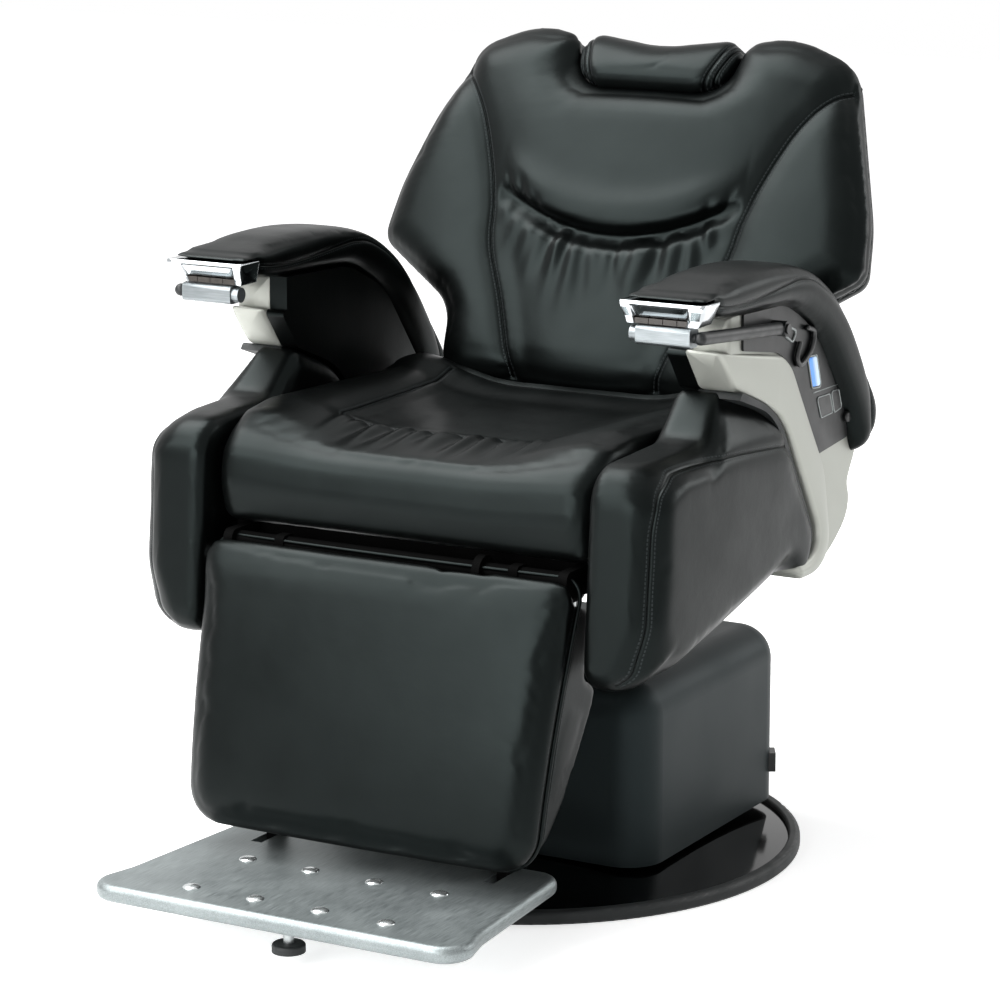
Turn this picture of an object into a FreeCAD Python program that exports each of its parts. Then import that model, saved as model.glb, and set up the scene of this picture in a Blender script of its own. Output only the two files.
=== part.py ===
import FreeCAD, Part
import math
import os

# Electro-hydraulic barber chair, in millimetres. It faces -Y with +Z up, and the origin is the
# centre of the base disc's underside. "left" is the sitter's left, which is the +X side.

V = FreeCAD.Vector
X_AXIS = V(1, 0, 0)
Y_AXIS = V(0, 1, 0)
Z_AXIS = V(0, 0, 1)

# Clearances
RUN = 0.05            # radial clearance of a running shaft in its bore
SLIP = 0.4            # gap between faces that move past each other
BOLT_PLAY = 0.3       # radial play round a bolt shank

# Base: a steel disc with a pressed cover, a rubber rim and the swivel bearing
BASE_R = 335.0        # outer radius of the rim
RIM_W = 14.0
RIM_H = 16.0
DISC_T = 10.0
DOME_RISE = 12.0
DOME_T = 3.0
DOME_BORE_R = 114.0
BEARING_R = 105.0
BEARING_BORE_R = 64.0
BEARING_H = 14.0
SPIGOT_R = 40.0
SPIGOT_H = 50.0

# Turret: the plate that swivels, with the lift cylinder, the pump set and its cover
TURRET_T = 10.0
COVER_HALF_W = 224.0
COVER_FRONT = -120.0
COVER_REAR = 256.0
COVER_H = 220.0
COVER_CORNER_R = 46.0
COVER_TOP_R = 42.0
COVER_WALL = 4.0
CYL_R = 60.0
CYL_BORE_R = 45.0
CYL_FLANGE_R = 86.0
CYL_FLANGE_T = 12.0
GLAND_H = 34.0
BOLT_R = 5.0
BOLT_HEAD_R = 8.5
BOLT_HEAD_H = 6.0
BOLT_COUNT = 6
MOTOR_R = 46.0
MOTOR_L = 150.0
PUMP_W = 60.0
TANK_W = 84.0
TANK_H = 130.0
INLET_W = 26.0
INLET_H = 24.0
INLET_D = 7.0
INLET_TURN = 29.0     # round the cover's rear corner, from the +X side

# Lift ram and welded seat frame
RAM_R = 38.0
PISTON_T = 8.0
RAM_GAP = 6.0         # between the piston and the spigot below it
HUB_GAP = 6.0         # between the cylinder's top and the hub above it
HUB_R = 70.0
HUB_TUBE_R = 55.0
HUB_H = 85.0
HUB_FLANGE_T = 10.0
RAIL_H = 34.0
RAIL_W = 30.0
RAIL_X = 155.0
CROSS_FRONT = -255.0
CROSS_REAR = 120.0
CROSS_W = 30.0
LUG_X = 214.0
LUG_T = 12.0
BOARD_T = 12.0
BOARD_MARGIN = 12.0         # seat board in from the cushion's sides

# Hinges: backrest, legrest and the drive rod that joins them
RECLINE_Y = 185.0
RECLINE_RISE = 6.6          # backrest hinge above the rails' top
RECLINE_R = 12.0
RECLINE_TRAVEL = 50.0
LEG_Y = -300.0
LEG_Z = 412.0
LEG_RISE = 20.6             # legrest shaft above the rails' underside
LEG_R = 10.0
LEG_EYE_R = 18.0
LEG_TRAVEL = 65.0
LEG_CRANK = 60.0
DRIVE_X = 95.0
DRIVE_DROP = 34.4           # drive rod below the rails
DRIVE_R = 9.0
CRANK_T = 10.0
CRANK_HALF_W = 12.0
CRANK_WALL = 8.0
CRANK_PIN_R = 6.0
YOKE_PLAY = 1.4
BARREL_R = 20.0
BARREL_L = 140.0

# Seat cushion
SEAT_HALF_W = 248.0
SEAT_FRONT = -301.0
SEAT_REAR = 150.0
SEAT_NOSE_Z = 514.0   # top of the front roll at the middle
SEAT_SEAM_Y = -182.0
SEAT_SEAM_Z = 532.0
SEAT_REAR_Z = 520.0
SEAT_SIDE_RISE = 24.0

# Side panels and arms
SEAT_GAP = 8.0              # between the seat cushion and the panels
PANEL_W = 84.0
PANEL_FRONT = -325.0
PANEL_FOOT_Z = 303.0
PANEL_FOOT_RISE = 59.0
PANEL_FOOT_REAR = 20.0      # where the sloping foot ends
PANEL_DECK_Z = 548.0
PANEL_DECK_REAR = -163.0    # where the deck turns up into the neck
PANEL_FRONT_R = 16.0
NECK_TOP_Z = 620.0
INNER_T = 24.0
FRAME_SET = 2.0             # frame face behind the panel's outer face
TRIM_SET = 3.0              # edging face behind the frame's face
REAR_SET = 10.0             # frame's rear field behind its raised band
TIP_TAPER = 15.0            # how far the band's tip is drawn in
TIP_FRONT = -150.0
TIP_REAR = -15.0
TRIM_W = 8.0
PAD_OVER_IN = 8.0           # pad beyond the panel's inner face
PAD_OVER_OUT = 11.0         # and beyond its outer face
PAD_EDGE_R = 13.0
PAD_LIP = 3.0               # pad's thin edge over the cap
CAP_OVER_IN = 1.0
CAP_OVER_OUT = 2.0
CAP_FRONT = -240.0
CAP_BACK = -196.0
CAP_TOP_Z = 722.0
CAP_H = 26.5
CAP_SLOPE = 9.0
SLOT_H = 7.0
SLOT_D = 28.0
SLOT_INNER = 15.0           # slot end to the cap's inner end
SLOT_OUTER = 21.0
BUTTON_COUNT = 4
BUTTON_D = 16.0
BUTTON_TRAVEL = 2.0
CONSOLE_T = 3.0
WINDOW_T = 1.5
SOCKET_T = 4.0
SOCKET_W = 24.0
SOCKET_H = 26.0
SOCKET_Z = 550.0
SOCKET_YS = (119.0, 146.0)
DIAL_R = 6.0
DIAL_Y = 176.0
DIAL_Z = 521.0

# Lever under each arm
LEVER_Y = -18.0
LEVER_Z = 664.0
LEVER_PIN_R = 4.0
LEVER_EYE_R = 9.0
LEVER_INSET = 9.5           # rod's axis in from the pad's outer face
LEVER_EYE_W = 16.0
LEVER_ROD_R = 7.5
BAR_GAP = 1.0               # below the cap
BAR_H = 21.5
BAR_D = 22.0
BAR_SET = 4.0               # bar's face behind the cap's front
BAR_INNER = 19.0            # bar end to the cap's inner end
BAR_OUTER = 20.0
KNOB_R = 9.0

# Backrest, in its own upright frame: x across, y from the front face back, z up the slope
BACK_LEAN = 26.5
BACK_FOOT_Y = 124.0
BACK_FOOT_Z = 553.0
BACK_CROWN_R = 4000.0
CUSHION_T = 60.0
BACK_FRAME_T = 12.0
BACK_COVER_T = 40.0
BACK_EDGE_R = 20.0
BACK_FRAME_INSET = 26.0
LUMBAR_RECESS = 12.0
LUMBAR_Z = 184.0
LUMBAR_ARC_R = 900.0
LUMBAR_HALF_W = 175.0
STRAP_TOP = 140.0
STRAP_EYE_WALL = 12.0
BRACKET_X = 196.0
BRACKET_T = 12.0
BRACKET_D = 16.0
GUIDE_X = 55.0
GUIDE_R = 10.0
GUIDE_Y = 86.0
GUIDE_FOOT = 205.0
POST_R = 7.0
NOTCH_FLOOR = 378.0
HEAD_FLOOR = 383.0
HEAD_TOP = 448.0
HEAD_FRONT = 4.0
HEAD_REAR = 97.0
HEAD_DIP_R = 420.0
HEAD_DIP = 14.0

# Legrest and footplate
CALF_TOP_HALF_W = 232.0
CALF_FOOT_HALF_W = 219.0
CALF_FOOT_Z = 97.0
CALF_CROWN_R = 3600.0
CALF_TOP_R = 34.0
CALF_FOOT_R = 44.0
ARM_X = 148.0
ARM_T = 12.0
FOOT_PIN_Y = -322.0
FOOT_PIN_Z = 44.0
FOOT_PIN_R = 6.0
PLATE_Z = 52.0
PLATE_T = 20.0
PLATE_FRONT = -588.0
PLATE_REAR = -298.0
NOTCH_L = 70.0              # slots in the plate's rear edge for the legrest arms
STUD_PITCH = 84.3
STUD_ROWS = (-542.7, -427.9)
STUD_R = 8.0
STUD_H = 3.0
STOP_Y = -541.0
STOP_R = 19.0
STOP_H = 10.0
STOP_BOLT_R = 6.0
STOP_BOLT_L = 24.0

# Outlines as (u, v, corner radius). Side views of an arm are (y, z), its arch opening forwards
FRAME_EDGE = [(-104, 603, 6), (-8, 566, 120), (95, 402, 26), (80, 364, 14)]
FRAME_TOP = [(108, 350, 16), (143, 375, 24), (120, 476, 110), (14, 627, 70), (-143, 654, 5)]
CORE_REAR = [(108, 352, 14), (158, 379, 20), (191, 401, 14), (201, 422, 12), (191, 446, 14), (220, 477, 16)]
CORE_TOP = [(226, 512, 30), (150, 640, 60), (40, 700, 40), (-128, 704, 4)]
CORE_ARCH = [(-128, 640, 4), (14, 600, 20), (100, 440, 60), (88, 380, 10)]
PAD_CROWN = [(-130, 741, 300), (46, 730, 190), (168, 672, 130), (260, 540, 70), (238, 482, 14)]
PAD_ARCH = [(197, 482, 10), (194, 525, 80), (98, 648, 120), (14, 686, 100)]
PAD_HEART = (10, 600)       # point under the arch that the pad's edges are drawn in towards
CONSOLE_PLATE = [(-95, 648.5, 4), (15.5, 629.5, 72), (112, 492.5, 8), (205, 500, 12), (200, 530, 14),
                 (140, 632, 30), (40, 694, 30), (-95, 698, 4)]
CONSOLE_WINDOW = [(83, 588, 3), (100, 575, 3), (117, 594, 3), (99, 611, 3)]

# Half outlines, from the bottom up: backrest and headrest as (x, z) up the slope, footplate as (x, y)
BACK_HALF = [(203, 0, 40), (212, 84, 66), (332, 167, 26), (322, 238, 260), (262, 429, 44), (178, 457, 120),
             (122, 447, 24), (96, NOTCH_FLOOR, 22)]
HEAD_HALF = [(86, HEAD_FLOOR, 16), (106, HEAD_TOP, 20)]
FOOT_HALF = [(250, PLATE_FRONT, 34), (231, -512, 90), (214, PLATE_REAR, 30)]

# Side views of the calf pad's rear and of the arms behind it: upper points from the legrest shaft,
# lower points from the rear of the pad's foot
CALF_UPPER = [(16, -32, 8), (16, -112, 6), (44, -128, 6), (38, -146, 30)]
CALF_LOWER = [(66, 69, 60)]
ARM_UPPER = [(14, -16, 8), (28, -28, 8), (28, -102, 6), (56, -120, 8), (52, -150, 30)]
ARM_LOWER = [(84, 69, 50)]
ARM_FRONT_LOWER = [(18, 33, 8), (66, 103, 30)]
ARM_FRONT_UPPER = [(10, -112, 5)]
CALF_FRONT_TOP = -347.0
CALF_FRONT_FOOT = -434.0
CALF_REAR_FOOT = -388.0
CALF_ABOVE = 6.0            # pad's top above the legrest shaft

# Widths of an arm that follow from the seat and the side panel
PANEL_IN = SEAT_HALF_W + SEAT_GAP
PANEL_OUT = PANEL_IN + PANEL_W
PANEL_CORNER_R = 0.524 * PANEL_W
FRAME_IN = PANEL_IN + INNER_T
FRAME_OUT = PANEL_OUT - FRAME_SET
FRAME_TIP_X = FRAME_OUT - TIP_TAPER
FRAME_REAR_X = FRAME_OUT - REAR_SET
TRIM_OUT = FRAME_OUT - TRIM_SET
PAD_IN = PANEL_IN - PAD_OVER_IN
PAD_OUT = PANEL_OUT + PAD_OVER_OUT
CAP_IN = PAD_IN - CAP_OVER_IN
CAP_OUT = PAD_OUT + CAP_OVER_OUT
SLOT_IN = CAP_IN + SLOT_INNER
SLOT_OUT = CAP_OUT - SLOT_OUTER
LEVER_X = PAD_OUT - LEVER_INSET
BAR_IN = CAP_IN + BAR_INNER
BAR_OUT = CAP_OUT - BAR_OUTER

# Heights that follow from the values above
BEARING_TOP = DISC_T + BEARING_H
TURRET_Z = BEARING_TOP + SLIP
TURRET_TOP = TURRET_Z + TURRET_T
PISTON_Z = DISC_T + SPIGOT_H + RAM_GAP
RAIL_Z = LEG_Z - LEG_RISE
RAIL_TOP = RAIL_Z + RAIL_H
SEAT_Z = RAIL_TOP + BOARD_T
HUB_Z = RAIL_Z - HUB_H
CYL_H = HUB_Z - HUB_GAP - TURRET_TOP
RECLINE_Z = RAIL_TOP + RECLINE_RISE
DRIVE_Z = RAIL_Z - DRIVE_DROP
CALF_TOP_Z = LEG_Z + CALF_ABOVE
CAP_FOOT_Z = CAP_TOP_Z - CAP_H
BAR_Z = CAP_FOOT_Z - BAR_GAP - BAR_H
DRIVE_STROKE = 2 * LEG_CRANK * math.sin(math.radians(LEG_TRAVEL / 2))
BACK_CRANK = DRIVE_STROKE / (2 * math.sin(math.radians(RECLINE_TRAVEL / 2)))
BACK_PLACE = FreeCAD.Placement(V(0, BACK_FOOT_Y, BACK_FOOT_Z), FreeCAD.Rotation(X_AXIS, -BACK_LEAN))


def box(x0, x1, y0, y1, z0, z1):
    """Box between two corners."""
    return Part.makeBox(x1 - x0, y1 - y0, z1 - z0, V(x0, y0, z0))


def rod(radius, start, axis, length):
    """Cylinder from a start point along an axis."""
    return Part.makeCylinder(radius, length, start, axis)


def ring(outer, inner, start, axis, length):
    """Tube from a start point along an axis."""
    return rod(outer, start, axis, length).cut(rod(inner, start, axis, length))


def unit(u, v):
    """Direction of a plane vector."""
    size = math.hypot(u, v)
    return u / size, v / size


def rounded_wire(corners, place):
    """Closed wire round a polygon of (u, v, radius) corners, each corner rounded to its radius."""
    count = len(corners)
    arcs = []
    for i, (u, v, radius) in enumerate(corners):
        before, after = corners[i - 1], corners[(i + 1) % count]
        au, av = unit(before[0] - u, before[1] - v)
        bu, bv = unit(after[0] - u, after[1] - v)
        half = math.acos(max(-1.0, min(1.0, au * bu + av * bv))) / 2
        reach = radius / math.tan(half)
        mu, mv = unit(au + bu, av + bv)
        deep = radius / math.sin(half) - radius
        arcs.append((V(*place(u + au * reach, v + av * reach)),
                     V(*place(u + mu * deep, v + mv * deep)),
                     V(*place(u + bu * reach, v + bv * reach))))
    edges = []
    for i, (start, middle, end) in enumerate(arcs):
        last = arcs[i - 1][2]
        if last.distanceToPoint(start) > 1e-6:
            edges.append(Part.makeLine(last, start))
        if start.distanceToPoint(end) > 1e-6:
            edges.append(Part.Arc(start, middle, end).toShape())
    return Part.Wire(edges)


def rounded_face(corners, place):
    """Face inside a rounded polygon."""
    return Part.Face(rounded_wire(corners, place))


def prism_x(corners, x0, x1):
    """Rounded (y, z) polygon carried along X."""
    return rounded_face(corners, lambda u, v: (x0, u, v)).extrude(V(x1 - x0, 0, 0))


def prism_y(corners, y0, y1):
    """Rounded (x, z) polygon carried along Y."""
    return rounded_face(corners, lambda u, v: (u, y0, v)).extrude(V(0, y1 - y0, 0))


def prism_z(corners, z0, z1):
    """Rounded (x, y) polygon carried along Z."""
    return rounded_face(corners, lambda u, v: (u, v, z0)).extrude(V(0, 0, z1 - z0))


def shifted(corners, du, dv):
    """Corners moved together."""
    return [(u + du, v + dv, radius) for u, v, radius in corners]


def both_sides(half):
    """Whole outline from its +X half, listed from the bottom up."""
    return half + [(-u, v, r) for u, v, r in reversed(half)]


def rectangle(u0, u1, v0, v1, radius):
    """Corners of a rounded rectangle."""
    return [(u0, v0, radius), (u1, v0, radius), (u1, v1, radius), (u0, v1, radius)]


def fuse(shapes):
    """One solid out of touching or overlapping shapes."""
    whole = shapes[0].fuse(shapes[1:]) if len(shapes) > 1 else shapes[0]
    return whole.removeSplitter()


def other_side(shape):
    """Mirror copy for the -X side."""
    return shape.mirror(V(0, 0, 0), X_AXIS)


def on_back(shape):
    """Moves a shape from the backrest's upright frame to its lean."""
    return shape.transformed(BACK_PLACE.toMatrix())


def save(name, shape):
    """Writes one node."""
    shape.exportStep("parts/" + name + ".step")


def build_base():
    """Disc on the floor, pressed cover over it, rubber rim round it, bearing and spigot on top."""
    inner_r = BASE_R - RIM_W
    save("base_plate", rod(inner_r, V(0, 0, 0), Z_AXIS, DISC_T))

    rim = [(inner_r, 0, 0), (BASE_R, 0, 3), (BASE_R, RIM_H, 6), (inner_r, RIM_H, 3)]
    save("base_rim_trim", rounded_face(rim, lambda u, v: (u, 0, v)).revolve(V(0, 0, 0), Z_AXIS, 360))

    top = DISC_T + DOME_RISE
    crest = (inner_r + DOME_BORE_R) / 2
    slope = [V(inner_r, 0, DISC_T), V(crest, 0, DISC_T + 0.75 * DOME_RISE), V(DOME_BORE_R, 0, top)]
    under = [p - V(0, 0, DOME_T) for p in slope[1:]]
    foot = V(inner_r - 3 * DOME_T, 0, DISC_T)
    edges = [Part.Arc(*slope).toShape(), Part.makeLine(slope[2], under[1]),
             Part.Arc(under[1], under[0], foot).toShape(), Part.makeLine(foot, slope[0])]
    save("base_dome", Part.Face(Part.Wire(edges)).revolve(V(0, 0, 0), Z_AXIS, 360))

    save("swivel_bearing", ring(BEARING_R, BEARING_BORE_R, V(0, 0, DISC_T), Z_AXIS, BEARING_H))
    save("swivel_spigot", rod(SPIGOT_R, V(0, 0, DISC_T), Z_AXIS, SPIGOT_H))


def cover_block(wall, height):
    """Pump cover's outside, or its inside when a wall thickness is given."""
    plan = rectangle(-COVER_HALF_W + wall, COVER_HALF_W - wall, COVER_FRONT + wall, COVER_REAR - wall,
                     COVER_CORNER_R - wall)
    block = prism_z(plan, TURRET_Z, TURRET_Z + height)
    rim = [e for e in block.Edges if e.BoundBox.ZMin > TURRET_Z + height - 1]
    return block.makeFillet(COVER_TOP_R - wall, rim)


def build_turret():
    """Swivelling plate with the lift cylinder, the pump set and the moulded cover."""
    bolt_ring = (CYL_R + CYL_FLANGE_R) / 2
    turns = [2 * math.pi * i / BOLT_COUNT for i in range(BOLT_COUNT)]
    spots = [V(bolt_ring * math.cos(turn), bolt_ring * math.sin(turn), 0) for turn in turns]
    flange_top = TURRET_TOP + CYL_FLANGE_T
    holes = [rod(BOLT_R + BOLT_PLAY, p + V(0, 0, TURRET_Z), Z_AXIS, flange_top - TURRET_Z) for p in spots]

    plan = rectangle(-COVER_HALF_W + COVER_WALL, COVER_HALF_W - COVER_WALL, COVER_FRONT + COVER_WALL,
                     COVER_REAR - COVER_WALL, COVER_CORNER_R)
    plate = prism_z(plan, TURRET_Z, TURRET_TOP)
    save("turret_plate", plate.cut([rod(SPIGOT_R + RUN, V(0, 0, 0), Z_AXIS, TURRET_TOP)] + holes))

    body = fuse([rod(CYL_FLANGE_R, V(0, 0, TURRET_TOP), Z_AXIS, CYL_FLANGE_T),
                 rod(CYL_R, V(0, 0, TURRET_TOP), Z_AXIS, CYL_H)])
    bore = [rod(CYL_BORE_R, V(0, 0, TURRET_TOP), Z_AXIS, CYL_H - GLAND_H),
            rod(RAM_R + RUN, V(0, 0, TURRET_TOP), Z_AXIS, CYL_H)]
    save("lift_cylinder", body.cut(bore + holes))

    bolts = []
    for spot in spots:
        shank = rod(BOLT_R, spot + V(0, 0, TURRET_Z), Z_AXIS, flange_top - TURRET_Z)
        head = rod(BOLT_HEAD_R, spot + V(0, 0, flange_top), Z_AXIS, BOLT_HEAD_H)
        bolts.append(fuse([shank, head]))
    save("flange_bolts", Part.makeCompound(bolts))

    # The motor lies across the chair behind the cylinder, with the pump block and tank beside it
    motor_y = (CYL_FLANGE_R + COVER_REAR) / 2
    motor_z = TURRET_TOP + MOTOR_R + 6
    pump_x = MOTOR_L / 2 - PUMP_W
    tank_x = pump_x + PUMP_W
    front = motor_y - MOTOR_R
    rear = motor_y + MOTOR_R
    barrel = rod(MOTOR_R, V(pump_x - MOTOR_L, motor_y, motor_z), X_AXIS, MOTOR_L)
    foot = box(pump_x - 0.8 * MOTOR_L, pump_x - 0.2 * MOTOR_L, motor_y - MOTOR_R / 2, motor_y + MOTOR_R / 2,
               TURRET_TOP, motor_z)
    save("pump_motor", fuse([barrel, foot]))
    save("pump_block", box(pump_x, tank_x, front, rear, TURRET_TOP, motor_z + MOTOR_R))
    save("oil_tank", box(tank_x, tank_x + TANK_W, front, rear, TURRET_TOP, TURRET_TOP + TANK_H))

    inside = cover_block(COVER_WALL, COVER_H - COVER_WALL)
    opening = rod(CYL_R + COVER_WALL, V(0, 0, TURRET_TOP), Z_AXIS, CYL_H)
    save("pump_cover", cover_block(0, COVER_H).cut([inside, opening]))
    axis = V(COVER_HALF_W - COVER_CORNER_R, COVER_REAR - COVER_CORNER_R, TURRET_TOP + INLET_H)
    inlet = box(axis.x, axis.x + COVER_CORNER_R + INLET_D, axis.y - INLET_W / 2, axis.y + INLET_W / 2,
                axis.z, axis.z + INLET_H)
    inlet.rotate(axis, Z_AXIS, INLET_TURN)
    save("power_inlet", inlet.cut(cover_block(0, COVER_H)))


def build_seat_frame():
    """Lift ram with its piston, and the welded frame that carries the seat, the arms and the hinges."""
    ram = fuse([rod(RAM_R, V(0, 0, PISTON_Z), Z_AXIS, HUB_Z - PISTON_Z),
                rod(CYL_BORE_R - RUN, V(0, 0, PISTON_Z), Z_AXIS, PISTON_T)])
    save("lift_ram", ram)

    tube_z = HUB_Z + HUB_FLANGE_T
    parts = [rod(HUB_R, V(0, 0, HUB_Z), Z_AXIS, HUB_FLANGE_T),
             rod(HUB_TUBE_R, V(0, 0, tube_z), Z_AXIS, RAIL_TOP - tube_z),
             box(-RAIL_X, RAIL_X, CROSS_FRONT / 2, CROSS_REAR, RAIL_Z, RAIL_Z + HUB_FLANGE_T)]
    for side in (-1, 1):
        x = side * RAIL_X
        parts.append(box(x - RAIL_W / 2, x + RAIL_W / 2, CROSS_FRONT, CROSS_REAR + CROSS_W, RAIL_Z, RAIL_TOP))
    for y in (CROSS_FRONT, CROSS_REAR):
        parts.append(box(-PANEL_IN, PANEL_IN, y, y + CROSS_W, RAIL_Z, RAIL_TOP))
    rear_lug = [(CROSS_REAR + CROSS_W / 2, RAIL_Z, 0), (RECLINE_Y, RECLINE_Z - 2 * RECLINE_R, 4),
                (RECLINE_Y + 2 * RECLINE_R, RECLINE_Z - 2 * RECLINE_R, 2 * RECLINE_R - 2),
                (RECLINE_Y + 2 * RECLINE_R, RECLINE_Z + 2 * RECLINE_R, 2 * RECLINE_R - 2),
                (RECLINE_Y - 2 * RECLINE_R, RECLINE_Z + 2 * RECLINE_R, 2 * RECLINE_R - 2),
                (RECLINE_Y - 2 * RECLINE_R, RAIL_TOP, 2), (CROSS_REAR + CROSS_W / 2, RAIL_TOP, 0)]
    front_lug = [(CROSS_FRONT + CROSS_W / 2, RAIL_Z, 0), (CROSS_FRONT + CROSS_W / 2, RAIL_TOP, 0),
                 (LEG_Y - LEG_EYE_R, RAIL_TOP, LEG_R), (LEG_Y - LEG_EYE_R, LEG_Z - LEG_EYE_R, LEG_R),
                 (LEG_Y, LEG_Z - LEG_EYE_R, LEG_R)]
    for x in (-LUG_X - LUG_T, LUG_X):
        parts.append(prism_x(rear_lug, x, x + LUG_T))
        parts.append(prism_x(front_lug, x, x + LUG_T))
    frame = fuse(parts)
    bores = [rod(RECLINE_R + RUN, V(-PANEL_IN, RECLINE_Y, RECLINE_Z), X_AXIS, 2 * PANEL_IN),
             rod(LEG_R + RUN, V(-PANEL_IN, LEG_Y, LEG_Z), X_AXIS, 2 * PANEL_IN)]
    save("seat_frame", frame.cut(bores))

    half_w = SEAT_HALF_W - BOARD_MARGIN
    plan = rectangle(-half_w, half_w, CROSS_FRONT, SEAT_REAR - RECLINE_R, 20)
    save("seat_board", prism_z(plan, RAIL_TOP, SEAT_Z))

    # Double-ended cylinder under the frame that moves the drive rod
    barrel = rod(BARREL_R, V(DRIVE_X, -BARREL_L / 2, DRIVE_Z), Y_AXIS, BARREL_L)
    saddle = box(DRIVE_X - BARREL_R / 2, DRIVE_X + BARREL_R / 2, -BARREL_L / 3, BARREL_L / 3, DRIVE_Z, RAIL_Z)
    bore = rod(DRIVE_R + RUN, V(DRIVE_X, -BARREL_L, DRIVE_Z), Y_AXIS, 2 * BARREL_L)
    save("recline_cylinder", fuse([barrel, saddle]).cut(bore))


def crank(y, z, length, angle, shaft_r):
    """Flat arm from a shaft down and back to its pin, with the pin that runs in a yoke."""
    pin_y = y + length * math.sin(math.radians(angle))
    pin_z = z - length * math.cos(math.radians(angle))
    x0 = DRIVE_X + DRIVE_R + SLIP
    along = V(0, pin_y - y, pin_z - z).normalize()
    across = V(0, -along.z, along.y) * CRANK_HALF_W
    a, b = V(x0, y, z), V(x0, pin_y, pin_z)
    arm = Part.Face(Part.makePolygon([a + across, b + across, b - across, a - across, a + across]))
    pin_x = DRIVE_X - DRIVE_R
    parts = [arm.extrude(V(CRANK_T, 0, 0)), rod(CRANK_HALF_W, a, X_AXIS, CRANK_T),
             rod(CRANK_HALF_W, b, X_AXIS, CRANK_T), rod(shaft_r + CRANK_WALL, a, X_AXIS, CRANK_T),
             rod(CRANK_PIN_R, V(pin_x, pin_y, pin_z), X_AXIS, x0 - pin_x)]
    return fuse(parts).cut(rod(shaft_r, V(x0, y, z), X_AXIS, CRANK_T))


def build_drive_rod():
    """Rod through the recline cylinder, with an upright slotted yoke for a crank pin at each end."""
    reach = DRIVE_STROKE / 2
    ends = [(LEG_Y + reach, LEG_Z, LEG_CRANK, LEG_TRAVEL),
            (RECLINE_Y + reach, RECLINE_Z, BACK_CRANK, RECLINE_TRAVEL)]
    front, rear = ends[0][0], ends[1][0]
    parts = [rod(DRIVE_R, V(DRIVE_X, front + CRANK_HALF_W, DRIVE_Z), Y_AXIS, rear - front - 2 * CRANK_HALF_W)]
    slots = []
    for y, z, length, travel in ends:
        low = z - length - CRANK_PIN_R - YOKE_PLAY
        high = z - length * math.cos(math.radians(travel / 2)) + CRANK_PIN_R + YOKE_PLAY
        wide = CRANK_PIN_R + YOKE_PLAY
        cheek = CRANK_HALF_W + 1
        slots.append(box(DRIVE_X - CRANK_T, DRIVE_X + CRANK_T, y - wide, y + wide, low, high))
        parts.append(box(DRIVE_X - CRANK_T / 2, DRIVE_X + CRANK_T / 2, y - cheek, y + cheek,
                         low - CRANK_PIN_R, high + CRANK_PIN_R))
    save("drive_rod", fuse(parts).cut(slots))


def seat_section(x, rise, inset):
    """Wire round the seat cushion at one x: flat below, rolled front, seam line, gently sunk rear."""
    front = SEAT_FRONT + inset
    foot = SEAT_Z + inset / 3
    nose = V(x, front + 14, SEAT_NOSE_Z + rise - inset)
    seam = V(x, SEAT_SEAM_Y, SEAT_SEAM_Z + rise - inset)
    rear = V(x, SEAT_REAR, SEAT_REAR_Z + rise - inset)
    low_front = V(x, front + 10, foot)
    low_rear = V(x, SEAT_REAR, foot)
    belly = V(x, front - 3, (SEAT_NOSE_Z + SEAT_Z) / 2)
    crest = V(x, (nose.y + seam.y) / 2, (nose.z + seam.z) / 2 + 5)
    dip = V(x, (rear.y + seam.y) / 2, (rear.z + seam.z) / 2 + 3)
    return Part.Wire([Part.makeLine(low_rear, low_front), Part.Arc(low_front, belly, nose).toShape(),
                      Part.Arc(nose, crest, seam).toShape(), Part.Arc(seam, dip, rear).toShape(),
                      Part.makeLine(rear, low_rear)])


def build_seat_cushion():
    """Cushion lofted across the seat: low in the middle, raised at the sides, drawn in at both ends."""
    half = [(0.0, 0.0, 0.0), (0.62, 0.35, 0.0), (0.94, 1.0, 3.0), (1.0, 0.95, 11.0)]
    stations = [(-f, r, i) for f, r, i in reversed(half[1:])] + half
    wires = [seat_section(f * SEAT_HALF_W, r * SEAT_SIDE_RISE, i) for f, r, i in stations]
    cushion = Part.makeLoft(wires, True, False)
    under = box(-SEAT_HALF_W, SEAT_HALF_W, 2 * SEAT_FRONT, SEAT_REAR, RAIL_Z, SEAT_Z)
    save("seat_cushion", cushion.cut(under))


def trim_strip():
    """Edging strip that follows the frame's lower edge, between the frame and the leather panel."""
    inner = [(u - TRIM_W * 0.86, v - TRIM_W * 0.5, r) for u, v, r in FRAME_EDGE[1:3]]
    foot = FRAME_EDGE[3]
    tip = FRAME_EDGE[0]
    path = FRAME_EDGE[:3] + [(foot[0], foot[1], 0), (foot[0] - 1.6 * TRIM_W, foot[1] + 2, 0)]
    path += [inner[1], inner[0], (tip[0] - 0.75 * TRIM_W, tip[1] - TRIM_W, 0)]
    return prism_x(path, FRAME_IN, TRIM_OUT)


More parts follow.
